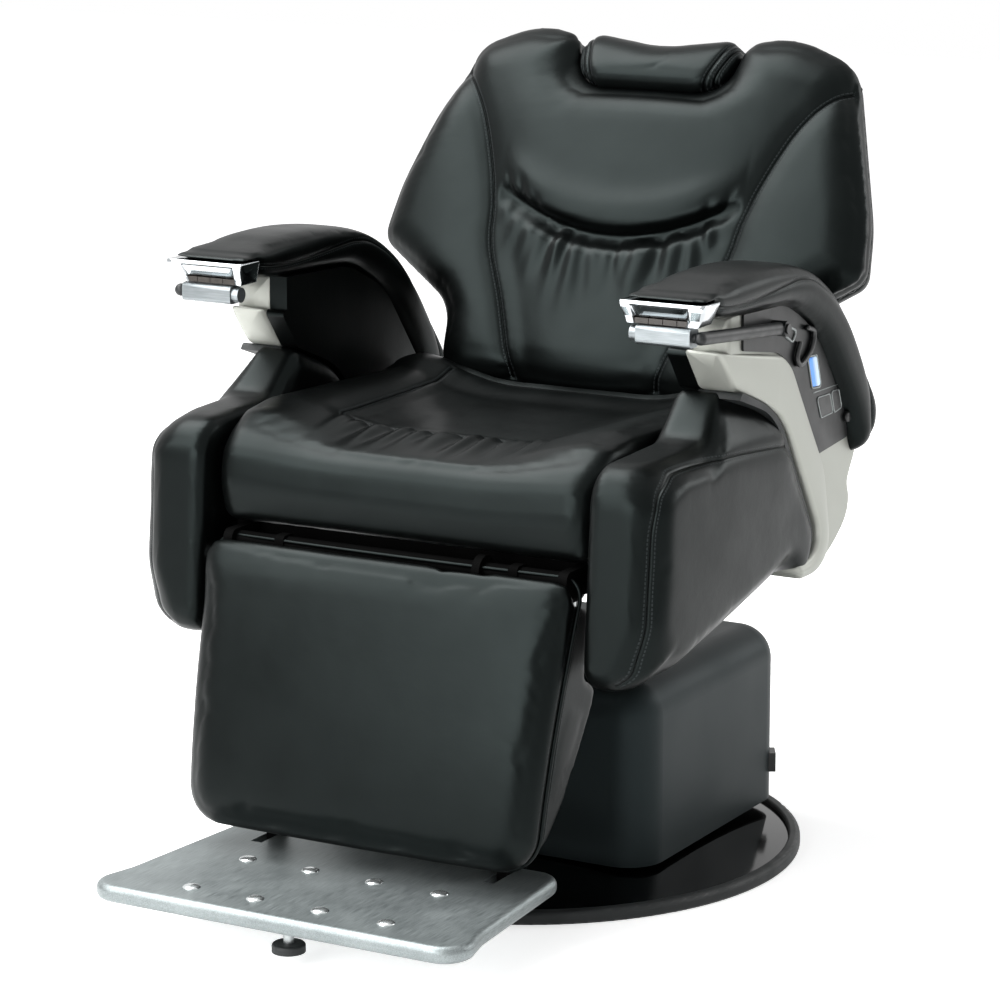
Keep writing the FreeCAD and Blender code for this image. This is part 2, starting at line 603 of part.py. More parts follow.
def build_side(suffix, flip):
    """Upholstered side panel, silver frame, edging strip, inner panel and arm pad of one side."""
    pad = arm_pad()
    cap = cap_body()
    pad = pad.cut(cap)
    save("arm_pad_" + suffix, flip(pad))

    core_outline = CORE_REAR + CORE_TOP + CORE_ARCH
    beyond = FRAME_OUT + PAD_OVER_OUT
    band_outline = FRAME_EDGE + FRAME_TOP
    taper = [(FRAME_TIP_X, TIP_FRONT, 0), (beyond, TIP_FRONT, 0), (beyond, TIP_REAR, 0),
             (FRAME_OUT, TIP_REAR, 0)]
    band = prism_x(band_outline, FRAME_IN, FRAME_OUT).cut(prism_z(taper, PANEL_DECK_Z, CAP_FOOT_Z))
    core = prism_x(core_outline, FRAME_IN, FRAME_REAR_X)
    frame = fuse([band, core]).cut([pad, cap])
    save("arm_frame_" + suffix, flip(frame))

    inner = fuse([prism_x(band_outline, PANEL_IN, FRAME_IN), prism_x(core_outline, PANEL_IN, FRAME_IN)])
    inner = inner.cut([pad, cap])
    save("arm_inner_panel_" + suffix, flip(inner))

    trim = max(trim_strip().cut(frame).Solids, key=lambda solid: solid.Volume)
    save("frame_trim_" + suffix, flip(trim))

    panel = side_panel().cut([trim, inner, frame])
    save("side_panel_" + suffix, flip(max(panel.Solids, key=lambda solid: solid.Volume)))

    save("arm_cap_" + suffix, flip(cap))
    build_buttons(suffix, flip)
    return build_lever(suffix, flip)


def side_panel():
    """Upholstered panel: deck and neck in side view, rounded foot and front, neck sloped in to the frame."""
    neck_y, neck_z, neck_r = FRAME_EDGE[0]
    side = [(PANEL_FRONT, PANEL_FOOT_Z, 20), (PANEL_FRONT, PANEL_DECK_Z, PANEL_CORNER_R),
            (PANEL_DECK_REAR, PANEL_DECK_Z + 4, 26), (neck_y - TRIM_W, neck_z - 2, neck_r)]
    side += FRAME_EDGE + [(PANEL_FOOT_REAR, PANEL_FOOT_Z + PANEL_FOOT_RISE, 2)]
    panel = prism_x(side, PANEL_IN, PANEL_OUT)

    length = 2 * (PANEL_FOOT_REAR - PANEL_FRONT)
    section = [(PANEL_IN, PANEL_FOOT_Z, PANEL_CORNER_R / 2), (PANEL_OUT, PANEL_FOOT_Z, PANEL_CORNER_R),
               (PANEL_OUT, CAP_TOP_Z, 0), (PANEL_IN, CAP_TOP_Z, 0)]
    front = rounded_face(section, lambda u, v: (u, PANEL_FRONT, v))
    panel = panel.common(front.extrude(V(0, length, 2 * PANEL_FOOT_RISE)))

    plan = [(PANEL_IN, PANEL_FRONT, PANEL_FRONT_R), (PANEL_OUT, PANEL_FRONT, PANEL_FRONT_R),
            (PANEL_OUT, SEAT_REAR, 0), (PANEL_IN, SEAT_REAR, 0)]
    panel = panel.common(prism_z(plan, PANEL_FOOT_Z - 1, CAP_FOOT_Z))

    start_z = PANEL_DECK_Z - TRIM_W
    beyond = PANEL_OUT + PAD_OVER_OUT
    neck = [(PANEL_OUT, start_z, 0), (beyond, start_z, 0), (beyond, NECK_TOP_Z, 0),
            (FRAME_TIP_X - TRIM_W, NECK_TOP_Z, 0)]
    return panel.cut(prism_y(neck, PANEL_FRONT - 1, SEAT_REAR))


def arm_pad():
    """Arched pad lofted across its width: full in the middle, its top drawn in towards both edges."""
    front = CAP_FRONT + CAP_SLOPE
    back = CAP_BACK + PAD_LIP
    step = [(back, CAP_FOOT_Z - PAD_LIP / 2, 2), (back, CAP_TOP_Z, 1), (front, CAP_TOP_Z, 1)]
    wires = []
    for share, draw in ((0.0, 1.0), (0.12, 0.4), (0.5, 0.0), (0.88, 0.4), (1.0, 1.0)):
        x = PAD_IN + share * (PAD_OUT - PAD_IN)
        inset = draw * PAD_EDGE_R
        top = [(front, CAP_TOP_Z + PAD_LIP, 1)]
        for y, z, radius in PAD_CROWN:
            du, dv = unit(y - PAD_HEART[0], z - PAD_HEART[1])
            top.append((y - inset * du, z - inset * dv, radius))
        wires.append(rounded_wire(top + PAD_ARCH + step, lambda u, v: (x, u, v)))
    return Part.makeLoft(wires, True, False)


def cap_body():
    """Bright end cap: sloped front, slot for the switches and a skirt along the outer side."""
    profile = [(CAP_FRONT, CAP_TOP_Z, 2), (CAP_BACK, CAP_TOP_Z, 0), (CAP_BACK, CAP_FOOT_Z, 0),
               (CAP_FRONT + CAP_SLOPE, CAP_FOOT_Z, 2)]
    body = prism_x(profile, CAP_IN, CAP_OUT)
    slot = box(SLOT_IN, SLOT_OUT, CAP_FRONT - 1, CAP_FRONT + SLOT_D, CAP_FOOT_Z - 1, CAP_FOOT_Z + SLOT_H)
    return body.cut(slot)


def build_buttons(suffix, flip):
    """Four small switches side by side in the cap's slot; each slides back when pressed."""
    pitch = (SLOT_OUT - SLOT_IN) / BUTTON_COUNT
    face = CAP_FRONT + SLOT_D - BUTTON_TRAVEL - SLIP - BUTTON_D
    low = CAP_FOOT_Z + SLIP
    high = CAP_FOOT_Z + SLOT_H - SLIP
    for i in range(BUTTON_COUNT):
        x = SLOT_IN + i * pitch
        shape = box(x + SLIP, x + pitch - SLIP, face, face + BUTTON_D, low, high)
        save("switch_%s_%d" % (suffix, i + 1), flip(shape))


def build_lever(suffix, flip):
    """Pivot bracket on the frame, rod along the outer side and the silver bar under the cap."""
    eye = V(LEVER_X - LEVER_EYE_W / 2, LEVER_Y, LEVER_Z)
    bar_z = BAR_Z + BAR_H / 2
    bar_y = CAP_FRONT + BAR_D / 2 + BAR_SET
    start = V(LEVER_X, bar_y, bar_z)
    end = V(LEVER_X, LEVER_Y, LEVER_Z)
    along = (end - start).normalize()
    shank = rod(LEVER_ROD_R, start, along, start.distanceToPoint(end))
    stem = fuse([shank, Part.makeSphere(LEVER_ROD_R, start), rod(LEVER_EYE_R, eye, X_AXIS, LEVER_EYE_W)])
    bore = rod(LEVER_PIN_R + RUN, eye - V(1, 0, 0), X_AXIS, LEVER_EYE_W + 2)
    bar = prism_x(rectangle(bar_y - BAR_D / 2, bar_y + BAR_D / 2, BAR_Z, BAR_Z + BAR_H, 5), BAR_IN, BAR_OUT)
    knob = rod(KNOB_R, V(BAR_IN - KNOB_R, bar_y, bar_z), X_AXIS, KNOB_R)
    neck = rod(LEVER_ROD_R - 2, V(BAR_OUT, bar_y, bar_z), X_AXIS, LEVER_X - BAR_OUT)
    save("lever_rod_" + suffix, flip(fuse([stem, neck]).cut(bore)))
    save("lever_bar_" + suffix, flip(fuse([bar, knob])))

    outer = LEVER_X + LEVER_EYE_W / 2 + SLIP
    pin = rod(LEVER_PIN_R, V(FRAME_REAR_X, LEVER_Y, LEVER_Z), X_AXIS, outer - FRAME_REAR_X)
    head = rod(LEVER_PIN_R + 2, V(outer, LEVER_Y, LEVER_Z), X_AXIS, 2)
    boss = rod(LEVER_EYE_R, V(FRAME_REAR_X, LEVER_Y, LEVER_Z), X_AXIS, eye.x - SLIP - FRAME_REAR_X)
    return flip(fuse([pin, head, boss]))


def build_console():
    """Dark console plates on the outer side of both arms; the left one carries a display and sockets."""
    face = FRAME_REAR_X + CONSOLE_T
    eyelet = rod(LEVER_EYE_R + RUN, V(FRAME_REAR_X - 1, LEVER_Y, LEVER_Z), X_AXIS, CONSOLE_T + 2)
    left = prism_x(CONSOLE_PLATE, FRAME_REAR_X, face).cut([arm_pad(), eyelet])
    low = SOCKET_Z - SOCKET_H / 2
    sockets = []
    for y in SOCKET_YS:
        outline = rectangle(y - SOCKET_W / 2, y + SOCKET_W / 2, low, low + SOCKET_H, SOCKET_T)
        sockets.append(prism_x(outline, face, face + SOCKET_T))
    sockets.append(rod(DIAL_R, V(face, DIAL_Y, DIAL_Z), X_AXIS, 2 * SOCKET_T))
    save("arm_console", Part.makeCompound([left, other_side(left)]))
    save("console_window", prism_x(CONSOLE_WINDOW, face, face + WINDOW_T))
    save("console_sockets", Part.makeCompound(sockets))


def back_outline(inset):
    """Outline of the board that the cushion is fixed to: the backrest's, drawn in by a margin."""
    foot, waist, wing, _, shoulder, _, _, notch = BACK_HALF
    step = inset + 28
    half = [(foot[0] - inset, inset, foot[2] / 2), (waist[0] - inset, waist[1] + 0.4 * inset, waist[2]),
            (wing[0] - 1.6 * inset, wing[1] + 0.4 * inset, wing[2]),
            (shoulder[0] - inset, shoulder[1] - inset, shoulder[2]),
            (notch[0] + step, notch[1] + 4, inset), (notch[0] + inset, notch[1] - inset, inset / 2)]
    return both_sides(half)


def build_backrest():
    """Front cushion, board, rear cover, brackets with the crank, shaft and headrest guides."""
    block = prism_y(both_sides(BACK_HALF), 0, CUSHION_T)
    rim = [e for e in block.Edges if e.BoundBox.YMax < 0.1]
    block = block.makeFillet(BACK_EDGE_R, rim)
    dome = rod(BACK_CROWN_R, V(0, BACK_CROWN_R, -CUSHION_T), Z_AXIS, 2 * HEAD_TOP)
    smile = rod(LUMBAR_ARC_R, V(0, -1, LUMBAR_Z + LUMBAR_ARC_R), Y_AXIS, LUMBAR_RECESS + 1)
    lower = box(-LUMBAR_HALF_W, LUMBAR_HALF_W, -1, LUMBAR_RECESS, -1, LUMBAR_Z + CUSHION_T).cut(smile)
    cushion = block.common(dome).cut(lower)
    save("back_cushion", on_back(cushion))

    board_back = CUSHION_T + BACK_FRAME_T
    board = prism_y(back_outline(BACK_FRAME_INSET), CUSHION_T, board_back)
    save("back_frame", on_back(board))

    hinge = BACK_PLACE.inverse().multVec(V(0, RECLINE_Y, RECLINE_Z))
    reach = RECLINE_R + STRAP_EYE_WALL
    strap_back = board_back + BRACKET_D
    strap = [(board_back, STRAP_TOP, 2), (strap_back, STRAP_TOP, 2), (strap_back, BRACKET_T, 20),
             (hinge.y + reach, hinge.z + reach / 2, 10), (hinge.y + reach, hinge.z - reach, reach / 2),
             (hinge.y - reach, hinge.z - reach, reach / 2), (hinge.y - reach, hinge.z + reach / 2, 10),
             (board_back, -BRACKET_T, 20)]
    straps = [prism_x(strap, x, x + BRACKET_T) for x in (-BRACKET_X - BRACKET_T, BRACKET_X)]
    shaft = rod(RECLINE_R, V(-LUG_X - LUG_T, RECLINE_Y, RECLINE_Z), X_AXIS, 2 * (LUG_X + LUG_T))
    plates = [on_back(s).cut(shaft) for s in straps]
    plates.append(crank(RECLINE_Y, RECLINE_Z, BACK_CRANK, RECLINE_TRAVEL / 2, RECLINE_R))
    save("back_brackets", Part.makeCompound(plates))
    save("recline_shaft", shaft)

    guides = []
    sleeves = []
    posts = []
    for x in (-GUIDE_X, GUIDE_X):
        foot = V(x, GUIDE_Y, GUIDE_FOOT)
        guides.append(on_back(ring(GUIDE_R, POST_R + RUN, foot, Z_AXIS, NOTCH_FLOOR - GUIDE_FOOT)))
        sleeves.append(rod(GUIDE_R, foot, Z_AXIS, NOTCH_FLOOR - GUIDE_FOOT + 5))
        posts.append(on_back(rod(POST_R, foot + V(0, 0, 5), Z_AXIS, HEAD_FLOOR - GUIDE_FOOT - 5)))
    save("headrest_guides", Part.makeCompound(guides))
    save("headrest_posts", Part.makeCompound(posts))

    cover = prism_y(both_sides(BACK_HALF), CUSHION_T, CUSHION_T + BACK_COVER_T)
    rim = [e for e in cover.Edges if e.BoundBox.YMin > CUSHION_T + BACK_COVER_T - 0.1]
    cover = cover.makeFillet(BACK_EDGE_R, rim)
    save("back_cover", on_back(cover.cut([board] + straps + sleeves)))

    roll = prism_y(both_sides(HEAD_HALF), HEAD_FRONT, HEAD_REAR)
    dip = rod(HEAD_DIP_R, V(0, 0, HEAD_TOP + HEAD_DIP_R - HEAD_DIP), Y_AXIS, 2 * HEAD_REAR)
    roll = roll.cut(dip)
    rim = [e for e in roll.Edges if e.BoundBox.YLength < 0.1 and e.BoundBox.YMax < HEAD_FRONT + 1]
    save("headrest_cushion", on_back(roll.makeFillet(12, rim)))


def build_legrest():
    """Calf pad, and the shaft with two arms and a crank that carries the pad and the footplate."""
    back = LEG_Y - LEG_EYE_R - 1
    side = [(CALF_FRONT_FOOT, CALF_FOOT_Z, 16), (CALF_FRONT_TOP, CALF_TOP_Z, 10), (back, CALF_TOP_Z, 4),
            (back, LEG_Z - LEG_EYE_R - 1, 8)]
    side += shifted(CALF_UPPER, LEG_Y, LEG_Z) + shifted(CALF_LOWER, CALF_REAR_FOOT, CALF_FOOT_Z)
    side += [(CALF_REAR_FOOT, CALF_FOOT_Z, 14)]
    pad = prism_x(side, -CALF_TOP_HALF_W, CALF_TOP_HALF_W)
    half = [(CALF_FOOT_HALF_W, CALF_FOOT_Z - 1, CALF_FOOT_R), (CALF_TOP_HALF_W, CALF_TOP_Z + 1, CALF_TOP_R)]
    pad = pad.common(prism_y(both_sides(half), PLATE_FRONT, CROSS_FRONT + CROSS_W))
    foot = V(0, CALF_FRONT_FOOT, CALF_FOOT_Z)
    along = (V(0, CALF_FRONT_TOP, CALF_TOP_Z) - foot).normalize()
    inward = V(0, along.z, -along.y)
    heart = foot + inward * CALF_CROWN_R
    pad = pad.common(rod(CALF_CROWN_R, heart - along * CALF_FOOT_Z, along, 2 * CALF_TOP_Z))
    pocket = box(DRIVE_X - 2 * CRANK_T, DRIVE_X + DRIVE_R + 2 * CRANK_T, back - 5, LEG_Y + LEG_CRANK,
                 LEG_Z - LEG_CRANK - 4 * CRANK_HALF_W, CALF_TOP_Z + LEG_R)
    pad = pad.cut(pocket)
    save("calf_pad", pad)

    half_w = 2 * FOOT_PIN_R + 2
    ankle = 2 * FOOT_PIN_Z + ARM_T
    eye_top = LEG_Z + LEG_R + 2
    eye_front = LEG_Y - LEG_R - 1.5
    strap = [(eye_front, LEG_Z - half_w, 2), (eye_front, eye_top, 6), (LEG_Y + half_w, eye_top, 8)]
    strap += shifted(ARM_UPPER, LEG_Y, LEG_Z) + shifted(ARM_LOWER, CALF_REAR_FOOT, CALF_FOOT_Z)
    strap += [(FOOT_PIN_Y + half_w, ankle, 30), (FOOT_PIN_Y + half_w, FOOT_PIN_Z - LEG_R, 8),
              (FOOT_PIN_Y - half_w, FOOT_PIN_Z - LEG_R, 8), (FOOT_PIN_Y - half_w, ankle, 20)]
    strap += shifted(ARM_FRONT_LOWER, CALF_REAR_FOOT, CALF_FOOT_Z) + shifted(ARM_FRONT_UPPER, LEG_Y, LEG_Z)
    arms = [prism_x(strap, x, x + ARM_T).cut(pad) for x in (-ARM_X - ARM_T, ARM_X)]
    arms = [max(a.Solids, key=lambda s: s.Volume) for a in arms]
    shaft = rod(LEG_R, V(-LUG_X - LUG_T, LEG_Y, LEG_Z), X_AXIS, 2 * (LUG_X + LUG_T))
    frame = fuse(arms + [shaft, crank(LEG_Y, LEG_Z, LEG_CRANK, LEG_TRAVEL / 2, LEG_R)])
    pin = rod(FOOT_PIN_R + RUN, V(-PANEL_IN, FOOT_PIN_Y, FOOT_PIN_Z), X_AXIS, 2 * PANEL_IN)
    save("legrest_frame", frame.cut(pin))


def build_footplate():
    """Cast plate with a bullnose edge, domed studs, hinge lugs with their pin and a rubber stop in front."""
    plate = prism_z(both_sides(FOOT_HALF), PLATE_Z, PLATE_Z + PLATE_T)
    rim = [e for e in plate.Edges if e.BoundBox.ZLength < 0.1]
    plate = plate.makeFillet(PLATE_T * 0.42, rim)
    top = PLATE_Z + PLATE_T
    ball_r = (STUD_R ** 2 + STUD_H ** 2) / (2 * STUD_H)
    parts = [plate]
    for row in STUD_ROWS:
        for step in (-1.5, -0.5, 0.5, 1.5):
            ball = Part.makeSphere(ball_r, V(step * STUD_PITCH, row, top + STUD_H - ball_r))
            parts.append(ball.common(rod(STUD_R, V(step * STUD_PITCH, row, top - 2), Z_AXIS, 2 + STUD_H)))
    half_w = 2 * FOOT_PIN_R
    lug = [(FOOT_PIN_Y - half_w, FOOT_PIN_Z - LEG_R, 8), (FOOT_PIN_Y + half_w, FOOT_PIN_Z - LEG_R, 8),
           (FOOT_PIN_Y + half_w, PLATE_Z + 2, 0), (FOOT_PIN_Y - half_w, PLATE_Z + 2, 0)]
    inner = ARM_X - SLIP
    for x in (-inner, inner - ARM_T):
        parts.append(prism_x(lug, x, x + ARM_T))
    notches = [box(x, x + ARM_T + 2 * SLIP + 2, PLATE_REAR - NOTCH_L, PLATE_REAR + 5, PLATE_Z - 1, top + 1)
               for x in (-ARM_X - ARM_T - SLIP - 1, ARM_X - SLIP - 1)]
    pin = rod(FOOT_PIN_R, V(-ARM_X - ARM_T, FOOT_PIN_Y, FOOT_PIN_Z), X_AXIS, 2 * (ARM_X + ARM_T))
    save("footplate", fuse(parts).cut(notches + [pin]))
    stop_bolt = rod(STOP_BOLT_R, V(0, STOP_Y, PLATE_Z - STOP_BOLT_L), Z_AXIS, STOP_BOLT_L)
    save("footplate_fixings", Part.makeCompound([pin, stop_bolt]))
    stop = rod(STOP_R, V(0, STOP_Y, PLATE_Z - STOP_BOLT_L - STOP_H), Z_AXIS, STOP_H)
    save("bump_stop", stop.makeFillet(3, stop.Edges[:1]))


os.makedirs("parts", exist_ok=True)
build_base()
build_turret()
build_seat_frame()
build_drive_rod()
build_seat_cushion()
pivots = [build_side("left", lambda shape: shape), build_side("right", other_side)]
save("lever_pivots", Part.makeCompound(pivots))
build_console()
build_backrest()
build_legrest()
build_footplate()
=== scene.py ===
import bpy
import numpy as np
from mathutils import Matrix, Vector


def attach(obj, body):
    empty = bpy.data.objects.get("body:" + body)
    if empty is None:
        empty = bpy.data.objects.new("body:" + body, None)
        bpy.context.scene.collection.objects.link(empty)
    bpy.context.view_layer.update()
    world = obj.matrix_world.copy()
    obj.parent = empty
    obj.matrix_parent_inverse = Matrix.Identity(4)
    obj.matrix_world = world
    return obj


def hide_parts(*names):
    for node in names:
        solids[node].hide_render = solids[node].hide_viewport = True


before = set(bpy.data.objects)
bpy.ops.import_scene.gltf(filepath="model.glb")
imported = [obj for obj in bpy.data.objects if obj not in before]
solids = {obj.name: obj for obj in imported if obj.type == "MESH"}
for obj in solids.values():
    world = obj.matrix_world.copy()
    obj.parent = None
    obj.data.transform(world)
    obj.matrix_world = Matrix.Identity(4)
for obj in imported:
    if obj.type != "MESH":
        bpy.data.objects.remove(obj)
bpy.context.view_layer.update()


# Base: a pressed steel cover sprayed in gloss black over a heavy disc, with a rubber bead pushed
# round the rim. The cover is bolted down from below, so nothing shows on top.
def linear(code):
    """sRGB hex to linear colour: a straight line below 0.04045, a power of 2.4 above it."""
    share = np.array([int(code[i:i + 2], 16) for i in (1, 3, 5)]) / 255
    return (*np.where(share < 0.04045, share / 12.92, ((share + 0.055) / 1.055) ** 2.4), 1.0)


def add(tree, kind, out=0, **given):
    """Adds one shader node and returns one of its outputs. Each given name is an input (in3 is input
    number 3) or a property of the node; a socket is linked to it and any other value is set on it."""
    node = tree.nodes.new("ShaderNode" + kind)
    for name, value in given.items():
        named = [s for s in node.inputs if s.name.lower().replace(" ", "_") == name]
        socket = node.inputs[int(name[2:])] if name[2:].isdigit() else (named or [None])[0]
        if socket is None:
            setattr(node, name, value)
        elif isinstance(value, bpy.types.NodeSocket):
            tree.links.new(value, socket)
        else:
            socket.default_value = value
    return node.outputs[out]


def finish(name, **constants):
    """New material with constants set on its shader's own sockets: the material, its nodes, its shader
    and the place on the object that its patterns follow."""
    made = bpy.data.materials.new(name)
    made.use_nodes = True
    tree = made.node_tree
    shader = tree.nodes["Principled BSDF"]
    for socket, value in constants.items():
        shader.inputs[socket.replace("_", " ")].default_value = value
    return made, tree, shader, add(tree, "TexCoord", out="Object")


def link(tree, shader, **given):
    """Links outputs to a shader's own sockets."""
    for socket, output in given.items():
        tree.links.new(output, shader.inputs[socket.replace("_", " ")])


def coated(name, dark, light, patch, rough, grain, relief, **constants):
    """Material whose colour drifts between two tones in patches of that size, whose roughness drifts
    the same way between two values, and whose surface has a fine relief of that grain and depth."""
    made, tree, shader, place = finish(name, **constants)
    drift = add(tree, "TexNoise", vector=place, scale=1000 / patch, detail=4.0)
    tone = add(tree, "Mix", out=2, data_type="RGBA", in0=drift, in6=linear(dark), in7=linear(light))
    gloss = add(tree, "MapRange", value=drift, in1=0.3, in2=0.7, in3=rough[0], in4=rough[1])
    speck = add(tree, "TexNoise", vector=place, scale=1000 / grain, detail=2.0)
    bump = add(tree, "Bump", height=speck, distance=relief / 1000, strength=1.0)
    link(tree, shader, Base_Color=tone, Roughness=gloss, Normal=bump)
    return made


def dress(material, *names):
    """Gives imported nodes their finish."""
    for name in names:
        for slot in solids[name].material_slots:
            slot.material = material


# Gloss enamel: near black, mirror-like, with a little orange peel about 6 mm across
gloss_enamel = coated("gloss_black_enamel", "#020202", "#070808", 90, (0.06, 0.14), 6, 0.02,
                      Specular_IOR_Level=0.3)
# Extruded rubber: dark, dull, dusty in patches
rubber = coated("extruded_black_rubber", "#141617", "#202424", 25, (0.5, 0.65), 0.9, 0.05,
                Specular_IOR_Level=0.35)
# Turned steel: bright, with the tool's fine scratches seen only as a dull sheen
turned_steel = coated("turned_steel", "#8d9293", "#a9adad", 12, (0.25, 0.4), 0.8, 0.02, Metallic=1.0)
dress(gloss_enamel, "base_plate", "base_dome")
dress(rubber, "base_rim_trim")
dress(turned_steel, "swivel_bearing", "swivel_spigot")


# Pump set: motor, pump block and oil tank stand on the turning plate with the lift cylinder. They
# are under the cover, and show only from below or when the seat is high.
# Machine paint: a dead matt black that swallows the light under the seat
black_paint = coated("black_machine_paint", "#020202", "#050505", 30, (0.75, 0.9), 1.5, 0.06,
                     Specular_IOR_Level=0.04)
# Hammer paint: mid grey, dimpled like orange peel
motor_paint = coated("grey_hammer_paint", "#4a5052", "#5c6264", 8, (0.35, 0.5), 3, 0.2)
# Sand-cast alloy: dull, grainy and pale
cast_alloy = coated("sand_cast_alloy", "#7b8081", "#969b9b", 10, (0.4, 0.6), 1.2, 0.15, Metallic=0.9)
dress(black_paint, "turret_plate", "oil_tank", "recline_cylinder")
dress(turned_steel, "lift_cylinder", "flange_bolts")
dress(motor_paint, "pump_motor")
dress(cast_alloy, "pump_block")


# Pump cover: one thick vacuum-formed ABS tub with large soft edges, in a satin charcoal with a fine
# spark-eroded texture. A mains inlet is let into its rear corner.
# Satin ABS: charcoal, with a soft sheen and a fine even texture
cover_abs = coated("satin_charcoal_abs", "#1f2526", "#272d2e", 120, (0.42, 0.52), 1.6, 0.05,
                   Specular_IOR_Level=0.15, Specular_Tint=linear("#e4fbff"))
# Nylon: black and slightly waxy
inlet_plastic = coated("black_nylon", "#0c0d0d", "#171919", 15, (0.35, 0.5), 1.0, 0.05)
dress(cover_abs, "pump_cover")
dress(inlet_plastic, "power_inlet")


# Seat frame: welded tube and plate on the lift ram, stove-enamelled black, with a birch ply board
# screwed down on top for the cushion.
# Hard chrome: a bright, close-ground rod surface
hard_chrome = coated("hard_chrome_rod", "#c8ccce", "#d8dbdc", 40, (0.08, 0.16), 0.8, 0.01, Metallic=1.0)
# Stained ply: black, open-grained and dull
plywood = coated("black_stained_ply", "#030303", "#080706", 18, (0.6, 0.75), 2.0, 0.1,
                 Specular_IOR_Level=0.05)
dress(hard_chrome, "lift_ram", "recline_shaft", "headrest_posts")
dress(black_paint, "seat_frame", "drive_rod", "legrest_frame", "back_brackets", "headrest_guides")
dress(plywood, "seat_board", "back_frame")


# Footplate: a gravity casting in aluminium, linished from back to front on top, with a polished
# bullnose and domed studs for grip. It hinges on a steel pin and rests on a rubber stop.
def brushed(name, tone, lay, rough, **constants):
    """Metal with straight scratches: noise drawn out along one axis, as wide as they can still show
    (0.9 mm; real linishing is near 0.1 mm), moves colour, roughness and relief together."""
    made, tree, shader, place = finish(name, **constants)
    drawn = add(tree, "Mapping", vector=place, scale=lay)
    lines = add(tree, "TexNoise", vector=drawn, scale=1000 / 0.9, detail=3.0, roughness=0.6)
    cloud = add(tree, "TexNoise", vector=place, scale=1000 / 70, detail=3.0)
    both = add(tree, "Math", operation="MULTIPLY_ADD", in0=cloud, in1=0.4, in2=lines)
    blend = add(tree, "MapRange", value=both, in1=0.5, in2=0.9, in3=0.0, in4=1.0)
    dark, light = (linear(code) for code in tone)
    shade = add(tree, "Mix", out=2, data_type="RGBA", in0=blend, in6=dark, in7=light)
    gloss = add(tree, "MapRange", value=both, in1=0.5, in2=0.9, in3=rough[0], in4=rough[1])
    bump = add(tree, "Bump", height=lines, distance=0.0001, strength=1.0)
    link(tree, shader, Base_Color=shade, Roughness=gloss, Normal=bump)
    return made


# Linished cast aluminium: grey, with a dull streaked glow that follows the belt
linished = brushed("linished_cast_aluminium", ("#656c6d", "#8d9494"), (1.0, 0.03, 1.0), (0.36, 0.5),
                   Metallic=0.72)
# Polished aluminium: the studs' worn, bright crowns
polished = coated("polished_aluminium", "#c3c8c8", "#d6dada", 8, (0.16, 0.26), 0.8, 0.01, Metallic=0.9)
dress(linished, "footplate")
dress(turned_steel, "footplate_fixings")
dress(rubber, "bump_stop")


def skin(rows, ring=False):
    """Faces over rows of points, each row closed on itself. A ring joins its last row to its first;
    otherwise a fan to its middle closes each end row."""
    n, m = rows.shape[:2]
    number = np.arange(n * m).reshape(n, m)
    low, high = (number, np.roll(number, -1, 0)) if ring else (number[:-1], number[1:])
    quads = np.stack([low, np.roll(low, -1, 1), np.roll(high, -1, 1), high], -1).reshape(-1, 4).tolist()
    if ring:
        return rows.reshape(-1, 3), quads
    ends = np.stack([rows[0].mean(0), rows[-1].mean(0)])
    first = np.stack([np.roll(number[0], -1), number[0], np.full(m, n * m)], -1).tolist()
    last = np.stack([number[-1], np.roll(number[-1], -1), np.full(m, n * m + 1)], -1).tolist()
    return np.concatenate([rows.reshape(-1, 3), ends]), quads + first + last


def turned(profile, sides):
    """Solid of revolution: each (radius, height) of a profile becomes a circle at that height."""
    angle = np.linspace(0, 2 * np.pi, sides, endpoint=False)
    wide, high = (profile[:, i, None] for i in (0, 1))
    return skin(np.stack([wide * np.cos(angle), wide * np.sin(angle), high + 0 * angle], -1))


def outward(points, faces):
    """Turns faces outwards, by the sign of the volume they enclose."""
    corner = np.array([(f[0], f[i], f[i + 1]) for f in faces for i in range(1, len(f) - 1)])
    a, b, c = (points[corner[:, i]] - points[0] for i in range(3))
    return faces if (a * np.cross(b, c)).sum() > 0 else [f[::-1] for f in faces]


def together(*shells):
    """One shell out of several: their points in a row, and their faces counted on."""
    start = np.cumsum([0] + [len(points) for points, _ in shells])
    faces = [[i + at for i in face]
             for (points, made), at in zip(shells, start) for face in outward(points, made)]
    return np.concatenate([points for points, _ in shells]), faces


def piece(name, points, faces, material=None):
    """Object at the origin from points in millimetres, its faces turned outwards."""
    faces = outward(points, faces)
    mesh = bpy.data.meshes.new(name)
    mesh.from_pydata((points * 0.001).tolist(), [], faces)
    mesh.polygons.foreach_set("use_smooth", np.ones(len(faces), bool))
    if material:
        mesh.materials.append(material)
    made = bpy.data.objects.new(name, mesh)
    bpy.context.scene.collection.objects.link(made)
    return made


STUD_PITCH, STUD_ROWS = 84.3, (-542.7, -427.9)
STUD_WIDE, STUD_HIGH, STUD_SUNK, PLATE_TOP = 10.5, 3.6, 0.3, 72
dome = np.linspace(0, 0.97 * np.pi / 2, 9)
stud = turned(np.stack([STUD_WIDE * np.cos(dome), STUD_HIGH * np.sin(dome) - STUD_SUNK], 1), 32)
studs = together(*[(stud[0] + [step * STUD_PITCH, row, PLATE_TOP], stud[1])
                   for row in STUD_ROWS for step in (-1.5, -0.5, 0.5, 1.5)])
footplate_studs = piece("footplate_studs", *studs, polished)
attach(footplate_studs, "footrest")


